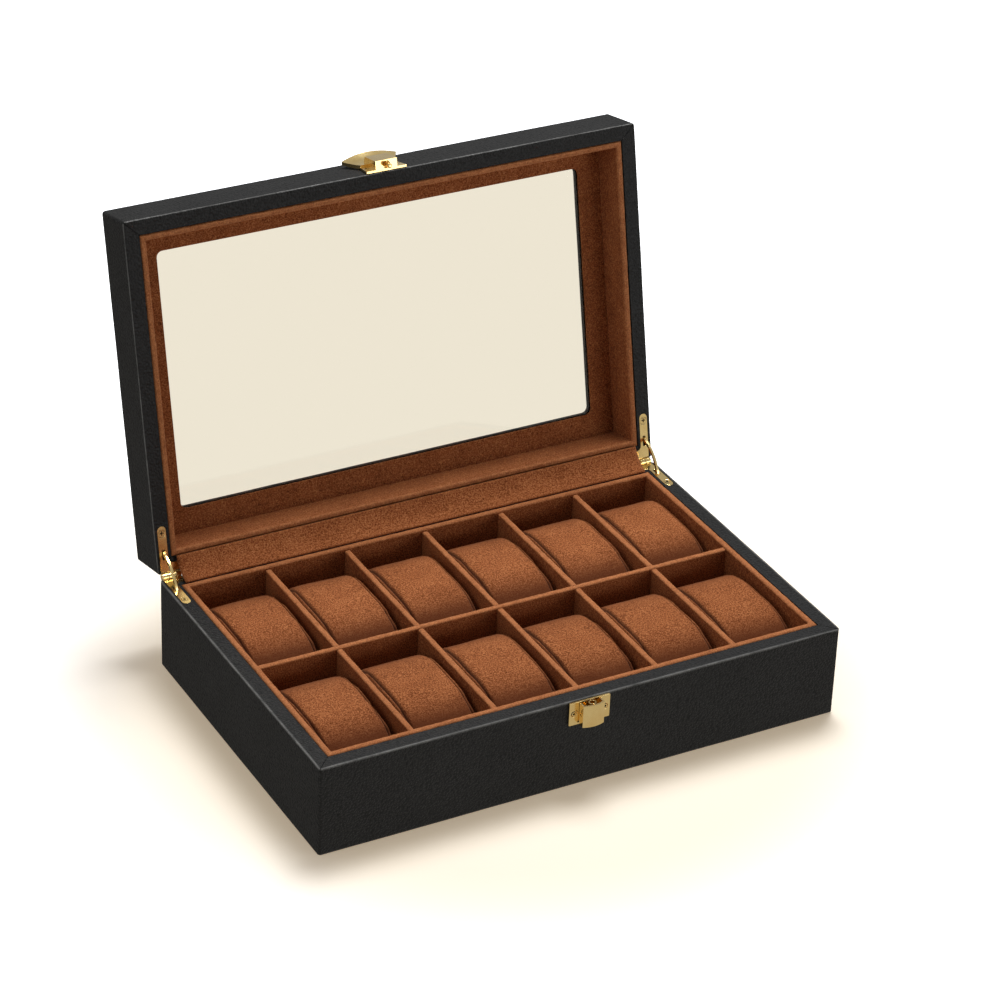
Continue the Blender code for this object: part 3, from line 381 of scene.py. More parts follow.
def makeLeather():
    made, tree, shader, vector = startMaterial("pebbledBlackLeather")
    pebble = useGroup(tree, pebbleGroup, vector, Pebble_Scale=pebbleSet["scale"])
    rub = useGroup(tree, wearHighlightGroup, vector, Amount=0.6, Breakup_Scale=120.0)
    colour = mixColour(tree, pebble["Tone"], leatherSet["body"], leatherSet["pale"])
    colour = mixColour(tree, pebble["Valley"], colour, leatherSet["deep"])
    # lighter on the rubbed edges: wear, and a painted highlight along the rim's lit outer edges
    colour = mixColour(tree, rub["Mask"], colour, leatherSet["worn"])
    # the pebbles shine face on, and turn matt where the leather is seen edge on
    facing = addNode(tree, "ShaderNodeLayerWeight").outputs["Facing"]
    matt = rangeNode(tree, facing, 0.0, leatherSet["matt"], *leatherSet["turned"])
    shine = rangeNode(tree, pebble["Height"], *leatherSet["roughness"])
    setInputs(
        shader,
        Base_Color=mixColour(tree, attributeNode(tree, "seam"), colour, leatherSet["creased"]),
        Roughness=mathNode(tree, "ADD", shine, matt),
        Normal=bumpNode(tree, pebble["Height"], *leatherSet["bump"]),
        Specular_IOR_Level=leatherSet["gloss"],
    )
    return made


brassSet = {
    "light": (0.960, 0.760, 0.370),
    "deep": (0.830, 0.570, 0.210),
    "grime": (0.045, 0.026, 0.010),  # painted shade in the screws' crosses and round their heads
    "roughness": (0.14, 0.30),
    "bump": (0.08, 0.03 * mm),
}


def makeBrass():
    made, tree, shader, vector = startMaterial("polishedBrass")
    polish = useGroup(tree, polishGroup, vector)
    colour = mixColour(tree, polish["Cloud"], brassSet["deep"], brassSet["light"])
    blend = mathNode(tree, "MULTIPLY", polish["Marks"], polish["Cloud"])
    setInputs(
        shader,
        # painted shade: darker in the screws' crosses and round their heads
        Base_Color=mixColour(tree, attributeNode(tree, "grime"), colour, brassSet["grime"]),
        Roughness=rangeNode(tree, blend, *brassSet["roughness"]),
        Normal=bumpNode(tree, polish["Marks"], *brassSet["bump"]),
        Metallic=1.0,
    )
    return made


woodSet = {
    "grain": 420.0,
    "drawnOut": 0.08,
    "dark": (0.205, 0.118, 0.058),
    "light": (0.405, 0.262, 0.150),
    "roughness": (0.75, 0.55),
    "bump": (0.3, 0.1 * mm),
}


def makeWood(name, alongX):
    made, tree, shader, vector = startMaterial(name)
    along = woodSet["drawnOut"]
    drawn = stretched(tree, vector, (along, 1, 1) if alongX else (1, along, 1))
    grain = noiseNode(tree, drawn, woodSet["grain"], 5.0, 0.6)
    setInputs(
        shader,
        Base_Color=rampNode(tree, grain, (0.3, woodSet["dark"]), (0.7, woodSet["light"])),
        Roughness=rangeNode(tree, grain, *woodSet["roughness"]),
        Normal=bumpNode(tree, grain, *woodSet["bump"]),
    )
    return made


glassSet = {
    "smear": 22.0,
    "haze": (0.0, 0.05),
    "tinted": (0.975, 0.985, 0.980),
    "clear": (0.985, 0.990, 0.985),
    "bending": 1.45,
}


def makeGlass():
    made, tree, shader, vector = startMaterial("windowGlass")
    smear = noiseNode(tree, vector, glassSet["smear"], 4.0, 0.6)
    setInputs(
        shader,
        Base_Color=mixColour(tree, smear, glassSet["tinted"], glassSet["clear"]),
        Roughness=rangeNode(tree, smear, *glassSet["haze"]),
        Transmission_Weight=1.0,
        IOR=glassSet["bending"],
    )
    return made


feltSet = {
    "fibre": 1400.0,
    "matted": 120.0,
    "dark": (0.008, 0.008, 0.009),
    "light": (0.045, 0.045, 0.047),
    "roughness": (0.9, 1.0),
    "bump": (0.7, 0.3 * mm),
}


def makeFelt():
    made, tree, shader, vector = startMaterial("blackFelt")
    fibre = noiseNode(tree, vector, feltSet["fibre"], 5.0, 0.75)
    matted = noiseNode(tree, vector, feltSet["matted"], 3.0, 0.5)
    shade = mathNode(tree, "MULTIPLY", fibre, mathNode(tree, "ADD", matted, 0.5))
    setInputs(
        shader,
        Base_Color=rampNode(tree, shade, (0.25, feltSet["dark"]), (0.75, feltSet["light"])),
        Roughness=rangeNode(tree, matted, *feltSet["roughness"]),
        Normal=bumpNode(tree, fibre, *feltSet["bump"]),
    )
    return made


suede = makeSuede("brownSuede")
cushionSuede = makeSuede("cushionSuede", 1400.0, 2.5)
leather = makeLeather()
brass = makeBrass()
woodX = makeWood("carcassWoodAlongX", True)
woodY = makeWood("carcassWoodAlongY", False)
glass = makeGlass()
felt = makeFelt()
print("watch box: finishes made")


# Mesh helpers


def meshObject(name, mesh, surface):
    made = bpy.data.objects.new(name, mesh)
    bpy.context.scene.collection.objects.link(made)
    mesh.materials.clear()
    mesh.materials.append(surface)
    return made


def place(made, body, slotName, *nodes):
    if nodes:
        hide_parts(*nodes)
    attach(made, body)
    return made


def joinedName(start, parts):
    return start + "".join(part.capitalize() for part in parts)


def copyMesh(node):
    # a CAD node's triangles, welded and with their flat faces joined
    bm = bmesh.new()
    bm.from_mesh(frame["nodes"][node].data)
    bmesh.ops.remove_doubles(bm, verts=bm.verts, dist=tiny)
    bmesh.ops.dissolve_limit(bm, angle_limit=math.radians(0.4), verts=bm.verts, edges=bm.edges)
    return bm


def storeMesh(bm, name, sharpDegrees=38):
    mesh = bpy.data.meshes.new(name)
    bm.to_mesh(mesh)
    bm.free()
    mesh.shade_smooth()
    mesh.set_sharp_from_angle(angle=math.radians(sharpDegrees))
    return mesh


def plainMesh(made):
    # the object's mesh with its modifiers worked in
    bpy.context.view_layer.update()
    evaluated = made.evaluated_get(bpy.context.evaluated_depsgraph_get())
    return bpy.data.meshes.new_from_object(evaluated)


def easeEdges(made, name, width, segments, degrees):
    # rounds the edges sharper than this, and evens the shading beside them
    eased = made.modifiers.new(name, "BEVEL")
    eased.width = width
    eased.segments = segments
    eased.limit_method = "ANGLE"
    eased.angle_limit = math.radians(degrees)
    made.modifiers.new("evenShading", "WEIGHTED_NORMAL").keep_sharp = True


def slicePlanes(bm, axis, places):
    normal = Vector([1.0 if index == axis else 0.0 for index in range(3)])
    for value in places:
        everything = [*bm.verts, *bm.edges, *bm.faces]
        bmesh.ops.bisect_plane(
            bm, geom=everything, dist=tiny / 4, plane_co=normal * value, plane_no=normal
        )


def steps(low, high, step):
    count = max(1, round((high - low) / step))
    return [low + (high - low) * index / count for index in range(1, count)]


def ruffle(bm, amount, size, seed, where=None):
    # moves each vertex a little along its normal, by a smooth noise
    bm.normal_update()
    shift = Vector((seed, seed * 1.7, seed * 0.6))
    moves = []
    for vert in bm.verts:
        if where is None or where(vert.co):
            moves.append((vert, vert.normal * noise.noise(vert.co / size + shift) * amount))
    for vert, move in moves:
        vert.co += move


def paint(bm, name, rule):
    layer = bm.verts.layers.float.new(name)
    for vert in bm.verts:
        vert[layer] = rule(vert.co)


# Leather shells: the covers of base and lid, with their folded mitres and rubbed edges, whose lighter
# colour is partly a painted highlight

leatherShape = {
    "step": 9 * mm,
    "edge": 1.25 * mm,
    "fold": 0.75 * mm,
    "worn": 0.45 * mm,  # how far the rubbing and its painted highlight reach from an edge
    "faintWear": 0.25,
    "seamWidth": 0.28 * mm,
    "seamDepth": 0.30 * mm,
    "swell": 0.10 * mm,
    "swellSize": 26 * mm,
    "mitreReach": 16.8 * mm,  # how far a mitre's cuts go from the corner
}


def edgeDistance(point, low, high):
    # how far a point on a box is from the nearest of its twelve edges
    gaps = sorted(min(abs(point[axis] - low[axis]), abs(point[axis] - high[axis])) for axis in range(3))
    return gaps[1]


def makeMitres(bm, level, back):
    # a shallow groove across the rim at each corner, where the leather is folded and cut
    width, reach = leatherShape["seamWidth"], leatherShape["mitreReach"]
    layer = bm.verts.layers.float.new("seam")
    groove = set()
    for sideX, sideY in ((-1, -1), (-1, 1), (1, -1), (1, 1)):
        corner = Vector((sideX * halfWidth, sideY * halfDepth, level))
        normal = Vector((sideX, -sideY, 0)).normalized()
        for offset in (-width, 0, width):
            near = [face for face in bm.faces if (face.calc_center_median() - corner).length < reach]
            around = {vert for face in near for vert in face.verts}
            around |= {edge for face in near for edge in face.edges}
            plane = corner + normal * offset
            bmesh.ops.bisect_plane(
                bm, geom=[*around, *near], dist=tiny / 4, plane_co=plane, plane_no=normal
            )
        for vert in bm.verts:
            away = vert.co - corner
            onLine = abs(away.dot(normal)) < tiny
            if onLine and abs(away.z) < leatherShape["edge"] and away.length < reach:
                groove.add(vert)
    for vert in groove:
        vert[layer] = 1.0
        vert.co.z += back * leatherShape["seamDepth"]


def makeLeatherShell(name, node, body, shutLow, shutHigh, level, back, matrix):
    bm = copyMesh(node)
    bmesh.ops.transform(bm, matrix=matrix.inverted(), verts=bm.verts)
    edge, step = leatherShape["edge"], leatherShape["step"]
    for axis in range(3):
        low, high = shutLow[axis], shutHigh[axis]
        slicePlanes(bm, axis, [low + edge, *steps(low + edge, high - edge, step), high - edge])
    makeMitres(bm, level, back)
    reach, faint = leatherShape["worn"], leatherShape["faintWear"]

    def wearAndHighlightAt(point):
        # the rim's outer edges, where the light catches, are rubbed and painted lightest, the other edges
        # hardly
        if edgeDistance(point, shutLow, shutHigh) > reach:
            return 0.0
        return 1.0 if abs(point.z - level) < reach else faint

    paint(bm, "rub", wearAndHighlightAt)
    ruffle(bm, leatherShape["swell"], leatherShape["swellSize"], 3.1)
    bmesh.ops.transform(bm, matrix=matrix, verts=bm.verts)
    made = meshObject(name, storeMesh(bm, name), leather)
    easeEdges(made, "foldedEdge", leatherShape["fold"], 3, 45)
    return place(made, body, "black_leather", node)


shutLid = shutBox("lid_leather")
makeLeatherShell("baseLeatherCover", "base_leather", "base", *baseBox, rimHeight, -1, identity)
makeLeatherShell("lidLeatherCover", "lid_leather", "lid", *shutLid, shutLid[0].z, 1, lidPlace)
print("watch box: leather covers made")


# Suede linings: a profile carried round the box, with a soft rounded lip

liningShape = {
    "step": 1.6 * mm,
    "lipSteps": 6,
    "lipRadius": 1.25 * mm,
    "floorPlay": 0.3 * mm,  # the gap between the floor's suede and the lining
    "fuzz": 0.16 * mm,
    "fuzzSize": 1.9 * mm,
    "fuzzDepth": 2 * mm,
}


def mitredRing(step):
    # shares along the four sides of a rectangle, with a point on each corner
    countX = round(2 * halfWidth / step)
    countY = round(2 * halfDepth / step)
    shares = [(1, -1 + 2 * index / countY) for index in range(countY)]
    shares += [(1 - 2 * index / countX, 1) for index in range(countX)]
    shares += [(-1, 1 - 2 * index / countY) for index in range(countY)]
    return shares + [(-1 + 2 * index / countX, -1) for index in range(countX)]


def sweepRing(profile, outside, step):
    # profile is a closed list of (inset from outside, height), carried round with mitred corners
    halfX, halfY = outside
    guide = mitredRing(step)
    bm = bmesh.new()
    rings = []
    for inset, height in profile:
        ring = [bm.verts.new((x * (halfX - inset), y * (halfY - inset), height)) for x, y in guide]
        rings.append(ring)
    count = len(guide)
    for index, ring in enumerate(rings):
        following = rings[(index + 1) % len(rings)]
        for spot in range(count):
            after = (spot + 1) % count
            bm.faces.new((ring[spot], ring[after], following[after], following[spot]))
    bmesh.ops.recalc_face_normals(bm, faces=bm.faces)
    return bm


def lipProfile(outer, inner, low, high, radius, lipAt):
    # a thin board's section whose lip is rounded; lipAt is "top" or "bottom"
    if lipAt == "bottom":
        return [(inset, -height) for inset, height in lipProfile(outer, inner, -high, -low, radius, "top")]
    arcSteps = liningShape["lipSteps"]
    turns = [math.pi / 2 * index / arcSteps for index in range(arcSteps + 1)]
    ins = [radius * (1 - math.cos(turn)) for turn in turns]
    outs = [radius * (1 - math.sin(turn)) for turn in turns]
    middle = (low + high) / 2
    points = [(outer, low), (outer, middle)]
    points += [(outer + across, high - down) for across, down in zip(ins, outs)]
    points += [(inner - across, high - down) for across, down in zip(outs, ins)]
    return [*points, (inner, middle), (inner, low)]


liningThickness = liningBox[1].x - floorBox[1].x - liningShape["floorPlay"]


def makeLining(name, node, body, low, high, lipAt, matrix):
    # the box of the node gives its outside and height
    radius = liningShape["lipRadius"]
    profile = lipProfile(0, liningThickness, low.z, high.z, radius, lipAt)
    bm = sweepRing(profile, (high.x, high.y), liningShape["step"])
    lipLevel = high.z if lipAt == "top" else low.z
    # the lip is painted lighter: rubbed nap and a painted highlight on its lit top
    paint(bm, "rub", lambda point: 1.0 if abs(point.z - lipLevel) < 0.75 * radius else 0.0)

    def nearLip(point):
        return abs(point.z - lipLevel) < liningShape["fuzzDepth"]

    ruffle(bm, liningShape["fuzz"], liningShape["fuzzSize"], 1.3, nearLip)
    bmesh.ops.transform(bm, matrix=matrix, verts=bm.verts)
    made = meshObject(name, storeMesh(bm, name, 60), suede)
    return place(made, body, "brown_suede", node)


makeLining("baseSuedeLining", "base_lining", "base", *liningBox, "top", identity)
makeLining("lidSuedeLining", "lid_lining", "lid", *shutBox("lid_lining"), "bottom", lidPlace)


def makeFlatPiece(name, node, body, surface, slotName, bevel, degrees):
    made = meshObject(name, storeMesh(copyMesh(node), name), surface)
    easeEdges(made, "softEdge", bevel, 3, degrees)
    return place(made, body, slotName, node)


makeFlatPiece("windowSuedeFrame", "window_lining", "lid", suede, "brown_suede", 0.35 * mm, 50)
makeFlatPiece("floorSuede", "floor_lining", "base", suede, "brown_suede", 0.3 * mm, 50)
print("watch box: linings made")


# Dividers: one Geometry Nodes tree makes a covered board with its halving slots

dividerShape = {
    "edge": 0.9 * mm,
    "edgeSteps": 5,
    "slotPlay": 0.3 * mm,
    "slotOver": 2 * mm,  # how far a slot's cutter stands out of the board
    "step": 1.2 * mm,
    "fuzz": 0.18 * mm,
    "fuzzSize": 2.1 * mm,
    "rubDepth": 0.7 * mm,
    "fuzzDepth": 2 * mm,
}


def geometryTree(name, inputs):
    return newTree("GeometryNodeTree", name, {**inputs, "Material": "Material"}, {"Geometry": "Geometry"})


def runTree(name, tree, surface, **values):
    # evaluates the tree once and keeps the plain mesh that it makes
    carrier = bpy.data.objects.new(name + "Carrier", bpy.data.meshes.new(name + "Carrier"))
    bpy.context.scene.collection.objects.link(carrier)
    modifier = carrier.modifiers.new("shape", "NODES")
    modifier.node_group = tree
    for item in tree.interface.items_tree:
        if item.item_type == "SOCKET" and item.in_out == "INPUT":
            key = item.name.replace(" ", "_")
            if key in values:
                modifier[item.identifier] = values[key]
            if item.socket_type == "NodeSocketMaterial":
                modifier[item.identifier] = surface
    mesh = plainMesh(carrier)
    bpy.data.objects.remove(carrier)
    mesh.name = name
    return mesh


def linkVector(tree, *parts):
    return feed(addNode(tree, "ShaderNodeCombineXYZ"), *parts)


def finishTree(tree, shape, material, result):
    # one solid with its material, which the object then holds as a plain mesh
    joined = feed(addNode(tree, "GeometryNodeRealizeInstances"), shape)
    covered = setInputs(addNode(tree, "GeometryNodeSetMaterial"), Geometry=joined, Material=material)
    setInputs(result, Geometry=covered.outputs[0])
    return tree


def makeBoardTree():
    inputs = {
        "Length": 0.168,
        "Thickness": 0.004,
        "Height": 0.043,
        "Edge": 0.0013,
        "Edge Steps": 5,
        "Slot Count": 1,
        "Slot Pitch": 0.0467,
        "Slot Width": 0.0046,
        "Slot Depth": 0.0215,
        "Slot Level": 0.0,
    }
    tree, given, result = geometryTree("coveredBoard", inputs)
    section = addNode(tree, "GeometryNodeCurvePrimitiveQuadrilateral")
    setInputs(section, Width=given["Thickness"], Height=given["Height"])
    softened = addNode(tree, "GeometryNodeFilletCurve")
    if "Mode" in softened.inputs:
        softened.inputs["Mode"].default_value = "Poly"
    else:
        softened.mode = "POLY"
    setInputs(softened, Curve=section.outputs[0], Radius=given["Edge"], Count=given["Edge Steps"])
    half = mathNode(tree, "MULTIPLY", given["Length"], 0.5)
    line = addNode(tree, "GeometryNodeCurvePrimitiveLine")
    start = linkVector(tree, mathNode(tree, "MULTIPLY", half, -1.0), 0.0, 0.0)
    setInputs(line, Start=start, End=linkVector(tree, half, 0.0, 0.0))
    board = addNode(tree, "GeometryNodeCurveToMesh")
    setInputs(board, Curve=line.outputs[0], Profile_Curve=softened.outputs[0], Fill_Caps=True)
    wide = mathNode(tree, "MULTIPLY", given["Thickness"], 2.0)
    cutter = addNode(tree, "GeometryNodeMeshCube")
    setInputs(cutter, Size=linkVector(tree, given["Slot Width"], wide, given["Slot Depth"]))
    places = addNode(tree, "GeometryNodeMeshLine")
    spread = mathNode(tree, "SUBTRACT", given["Slot Count"], 1.0)
    first = mathNode(tree, "MULTIPLY", mathNode(tree, "MULTIPLY", spread, given["Slot Pitch"]), -0.5)
    setInputs(
        places,
        Count=given["Slot Count"],
        Start_Location=linkVector(tree, first, 0.0, given["Slot Level"]),
        Offset=linkVector(tree, given["Slot Pitch"], 0.0, 0.0),
    )
    slots = addNode(tree, "GeometryNodeInstanceOnPoints")
    setInputs(slots, Points=places.outputs[0], Instance=cutter.outputs["Mesh"])
    solidSlots = feed(addNode(tree, "GeometryNodeRealizeInstances"), slots.outputs[0])
    notched = addNode(tree, "GeometryNodeMeshBoolean", operation="DIFFERENCE", solver="EXACT")
    setInputs(notched, Mesh_1=board.outputs[0], Mesh_2=solidSlots)
    return finishTree(tree, notched.outputs["Mesh"], given["Material"], result)


boardTree = makeBoardTree()


def makeDivider(name, node, slotCount, slotPitch, slotAtTop, seed):
    low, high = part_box(node)
    size = high - low
    alongX = size.x > size.y
    length, thickness = (size.x, size.y) if alongX else (size.y, size.x)
    topLevel = size.z / 2
    depth = topLevel + dividerShape["slotOver"]
    mesh = runTree(
        name,
        boardTree,
        suede,
        Length=length,
        Thickness=thickness,
        Height=size.z,
        Edge=dividerShape["edge"],
        Edge_Steps=dividerShape["edgeSteps"],
        Slot_Count=slotCount,
        Slot_Pitch=slotPitch,
        Slot_Width=thickness + 2 * dividerShape["slotPlay"],
        Slot_Depth=depth,
        Slot_Level=depth / 2 * (1 if slotAtTop else -1),
    )
    bm = bmesh.new()
    bm.from_mesh(mesh)
    bpy.data.meshes.remove(mesh)
    slicePlanes(bm, 0, steps(-length / 2, length / 2, dividerShape["step"]))
    # the board's top is painted lighter: rubbed nap and a painted highlight where light catches it
    paint(bm, "rub", lambda point: 1.0 if topLevel - point.z < dividerShape["rubDepth"] else 0.0)

    def nearTop(point):
        return topLevel - point.z < dividerShape["fuzzDepth"]

    ruffle(bm, dividerShape["fuzz"], dividerShape["fuzzSize"], seed, nearTop)
    turned = identity if alongX else Matrix.Rotation(math.pi / 2, 4, "Z")
    centre = (low + high) / 2
    bmesh.ops.transform(bm, matrix=Matrix.Translation(centre) @ turned, verts=bm.verts)
    made = meshObject(name, storeMesh(bm, name, 60), suede)
    return place(made, "base", "brown_suede", node)


columnNodes = sorted(node for node in frame["nodes"] if node.startswith("column_divider_"))
columnPlaces = [(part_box(node)[0].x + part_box(node)[1].x) / 2 for node in columnNodes]
columnPitch = columnPlaces[1] - columnPlaces[0]
makeDivider("rowDividerSuede", "row_divider", len(columnNodes), columnPitch, False, 0.7)
for index, node in enumerate(columnNodes):
    makeDivider(f"columnDividerSuede{index + 1}", node, 1, columnPitch, True, 1.9 + index)
print("watch box: dividers made")


# Watch cushions: a stuffed body blown up as cloth, then its two end seams drawn in

cushionShape = {
    "kinds": 3,
    "fullerX": 0.35 * mm,  # how much fuller than its solid a cushion is at each side
    "fullerY": 0.3 * mm,
    "voxel": 3.6 * mm,
    "voxelSpread": 0.03,
    "start": 1.5 * mm,  # the body starts this much smaller all round
    "cap": 2.6 * mm,
    "pressure": 4.0,
    "stiffness": 12,
    "frames": 20,
    "frontRoll": (30 * mm, 23 * mm),  # how far along and how far down the roll goes
    "backRoll": (24.5 * mm, 17 * mm),
    "rollSteps": 8,
    "underRound": 5.0 * mm,
    "endRound": 2.6 * mm,
    "settled": 0.8 * mm,  # how much lower than its solid a cushion's top lies
    "endReach": 5.5 * mm,  # the ends of the top fall away over this length
    "endFall": 2.8 * mm,
    # how much painted shade the cushion's ends get
    "endTuck": 0.4,
    "tuckDepth": 5.5 * mm,  # painted shade: the suede is darkened over this depth below the cushion's top
    "footLevel": 0.6 * mm,
    "seamInset": 3.9 * mm,
    "seamDepth": 1.5 * mm,
    "seamReach": 1.1 * mm,
    "seamCuts": (-1, -0.5, -0.2, 0, 0.2, 0.5, 1),
    "piping": 0.5 * mm,
    "pipingAway": 1.6 * mm,
    "pucker": 0.16,
    "puckerSize": 2.4 * mm,
    "lump": 0.35 * mm,
    "lumpSize": 17 * mm,
    "fill": 0.85,
}


def cushionSection(halfY, height):
    # the side view: a long roll down to the front, a shorter one to the back and a small flat foot
    reach, drop = cushionShape["frontRoll"]
    backReach, backDrop = cushionShape["backRoll"]
    under = cushionShape["underRound"]
    count = cushionShape["rollSteps"]
    points = []
    corners = (
        (-halfY + under, under, under, under, 180, 270),
        (halfY - under, under, under, under, 270, 360),
        (halfY - backReach, height - backDrop, backReach, backDrop, 0, 90),
        (-halfY + reach, height - drop, reach, drop, 90, 180),
    )
    for y, z, acrossY, acrossZ, start, end in corners:
        for index in range(count + 1):
            angle = math.radians(start + (end - start) * index / count)
            points.append((y + acrossY * math.cos(angle), z + acrossZ * math.sin(angle)))
    return points


def blowUp(made):
    # cloth with pressure and no gravity; each point may move no further than the cap
    before = [vert.co.copy() for vert in made.data.vertices]
    cloth = made.modifiers.new("stuffing", "CLOTH")
    settings = cloth.settings
    settings.use_pressure = True
    settings.uniform_pressure_force = cushionShape["pressure"]
    settings.effector_weights.gravity = 0
    settings.quality = 6
    settings.tension_stiffness = cushionShape["stiffness"]
    settings.compression_stiffness = cushionShape["stiffness"]
    cloth.point_cache.frame_start = 1
    cloth.point_cache.frame_end = cushionShape["frames"]
    scene = bpy.context.scene
    for step in range(1, cushionShape["frames"] + 1):
        scene.frame_set(step)
    evaluated = made.evaluated_get(bpy.context.evaluated_depsgraph_get())
    after = [vert.co.copy() for vert in evaluated.data.vertices]
    made.modifiers.remove(cloth)
    scene.frame_set(1)
    for vert, start, end in zip(made.data.vertices, before, after):
        move = end - start
        if move.length > cushionShape["cap"]:
            move = move.normalized() * cushionShape["cap"]
        vert.co = start + move


def makeCushionKind(kind, half, height):
    # one stuffed body about its cell's centre, standing on z = 0
    shrink = cushionShape["start"]
    bm = bmesh.new()
    section = cushionSection(half.y - shrink, height - 2 * shrink)
    left = [bm.verts.new((-half.x + shrink, y, z + shrink)) for y, z in section]
    face = bm.faces.new(left)
    made = bmesh.ops.extrude_face_region(bm, geom=[face])
    moved = [item for item in made["geom"] if isinstance(item, bmesh.types.BMVert)]
    bmesh.ops.translate(bm, verts=moved, vec=(2 * (half.x - shrink), 0, 0))
    bmesh.ops.recalc_face_normals(bm, faces=bm.faces)
    ends = [edge for edge in bm.edges if abs(edge.verts[0].co.x - edge.verts[1].co.x) < tiny]
    bmesh.ops.bevel(bm, geom=ends, offset=cushionShape["endRound"], segments=3, affect="EDGES", profile=0.5)
    mesh = bpy.data.meshes.new(f"cushionKind{kind}")
    bm.to_mesh(mesh)
    bm.free()
    body = meshObject(f"cushionKind{kind}", mesh, cushionSuede)
    remesh = body.modifiers.new("even", "REMESH")
    remesh.mode = "VOXEL"
    remesh.voxel_size = cushionShape["voxel"] * (1 - cushionShape["voxelSpread"] * kind)
    even = plainMesh(body)
    body.modifiers.remove(remesh)
    body.data = even
    blowUp(body)
    softer = body.modifiers.new("softer", "SUBSURF")
    softer.levels = softer.render_levels = 1
    done = plainMesh(body)
    bpy.data.objects.remove(body)
    return done


def fitCushion(bm, half, height):
    # stretches the stuffed body to the cell, and lays its underside flat
    low = [min(vert.co[axis] for vert in bm.verts) for axis in range(3)]
    high = [max(vert.co[axis] for vert in bm.verts) for axis in range(3)]
    goalLow = (-half.x, -half.y, 0)
    goalHigh = (half.x, half.y, height)
    reach, fall = cushionShape["endReach"], cushionShape["endFall"]
    tuck = bm.verts.layers.float.new("tuck")
    for vert in bm.verts:
        for axis in range(3):
            share = (vert.co[axis] - low[axis]) / (high[axis] - low[axis])
            vert.co[axis] = goalLow[axis] + share * (goalHigh[axis] - goalLow[axis])
        end = max(0, (abs(vert.co.x) - half.x + reach) / reach)
        vert.co.z -= fall * end**2 * vert.co.z / height
        vert.co.z = max(vert.co.z, cushionShape["footLevel"])
        # painted shade: darker the lower a point lies below the top, and towards the ends
        deep = (height - vert.co.z) / cushionShape["tuckDepth"]
        vert[tuck] = min(1, max(deep, cushionShape["endTuck"] * end))


def sewEnds(bm, half, height, seed):
    # a stitched groove near each end, with a low swelling beyond it
    seam = half.x - cushionShape["seamInset"]
    reach, away = cushionShape["seamReach"], cushionShape["pipingAway"]
    cuts = [*(share * reach for share in cushionShape["seamCuts"]), away, away + reach / 2]
    for side in (-1, 1):
        slicePlanes(bm, 0, [side * (seam + cut) for cut in cuts])
    seamLayer = bm.verts.layers.float.new("seam")
    fine = cushionShape["puckerSize"]

    def wave(distance):
        return (1 + math.cos(math.pi * min(abs(distance) / reach, 1))) / 2

    for vert in bm.verts:
        off = abs(vert.co.x) - seam
        dip, swell = wave(off), wave(off - away)
        if dip + swell <= 0:
            continue
        spot = Vector((seed, vert.co.y / fine, vert.co.z / fine))
        pucker = 1 + cushionShape["pucker"] * noise.noise(spot)
        inward = Vector((0, -vert.co.y, height / 2 - vert.co.z)).normalized()
        depth = dip**2 * cushionShape["seamDepth"] - swell * cushionShape["piping"]
        vert.co += inward * depth * pucker
        # the seam mask, which the suede darkens: stitched joint and painted shade in the groove
        vert[seamLayer] = dip**2


def makeCushions():
    low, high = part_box("cushion_front_1")
    halfX = (high.x - low.x) / 2 + cushionShape["fullerX"]
    half = Vector((halfX, (high.y - low.y) / 2 + cushionShape["fullerY"]))
    height = high.z - low.z - cushionShape["settled"]
    kinds = [makeCushionKind(kind, half, height) for kind in range(cushionShape["kinds"])]
    names = sorted(node for node in frame["nodes"] if node.startswith("cushion_"))
    for index, node in enumerate(names):
        bm = bmesh.new()
        bm.from_mesh(kinds[index % len(kinds)])
        fitCushion(bm, half, height)
        ruffle(bm, cushionShape["lump"], cushionShape["lumpSize"], 5.0 + index)
        sewEnds(bm, half, height, 11.0 + index)
        nodeLow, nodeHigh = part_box(node)
        centre = (nodeLow + nodeHigh) / 2
        bmesh.ops.translate(bm, verts=bm.verts, vec=(centre.x, centre.y, nodeLow.z))
        name = joinedName("suedeCushion", node.split("_")[1:])
        made = meshObject(name, storeMesh(bm, name, 80), cushionSuede)
        place(made, node, "brown_suede", node)
    for kind in kinds:
        bpy.data.meshes.remove(kind)


makeCushions()
print("watch box: cushions made")


# Cloth cover over the hinge joint

coverShape = {
    "thickness": 0.8 * mm,
    "sag": 1.6 * mm,
    "reach": 10.6 * mm,
    "rise": 0.75 * mm,
    "rows": 14,
    "columnStep": 3 * mm,
    "slack": 0.35 * mm,
    "slackSize": 22 * mm,
    "spare": 1.4 * mm,  # how far the cloth goes on past its solid towards the hinges
    "cutLonger": 1.03,  # the flat cloth's depth in widths of the gap that it spans
}


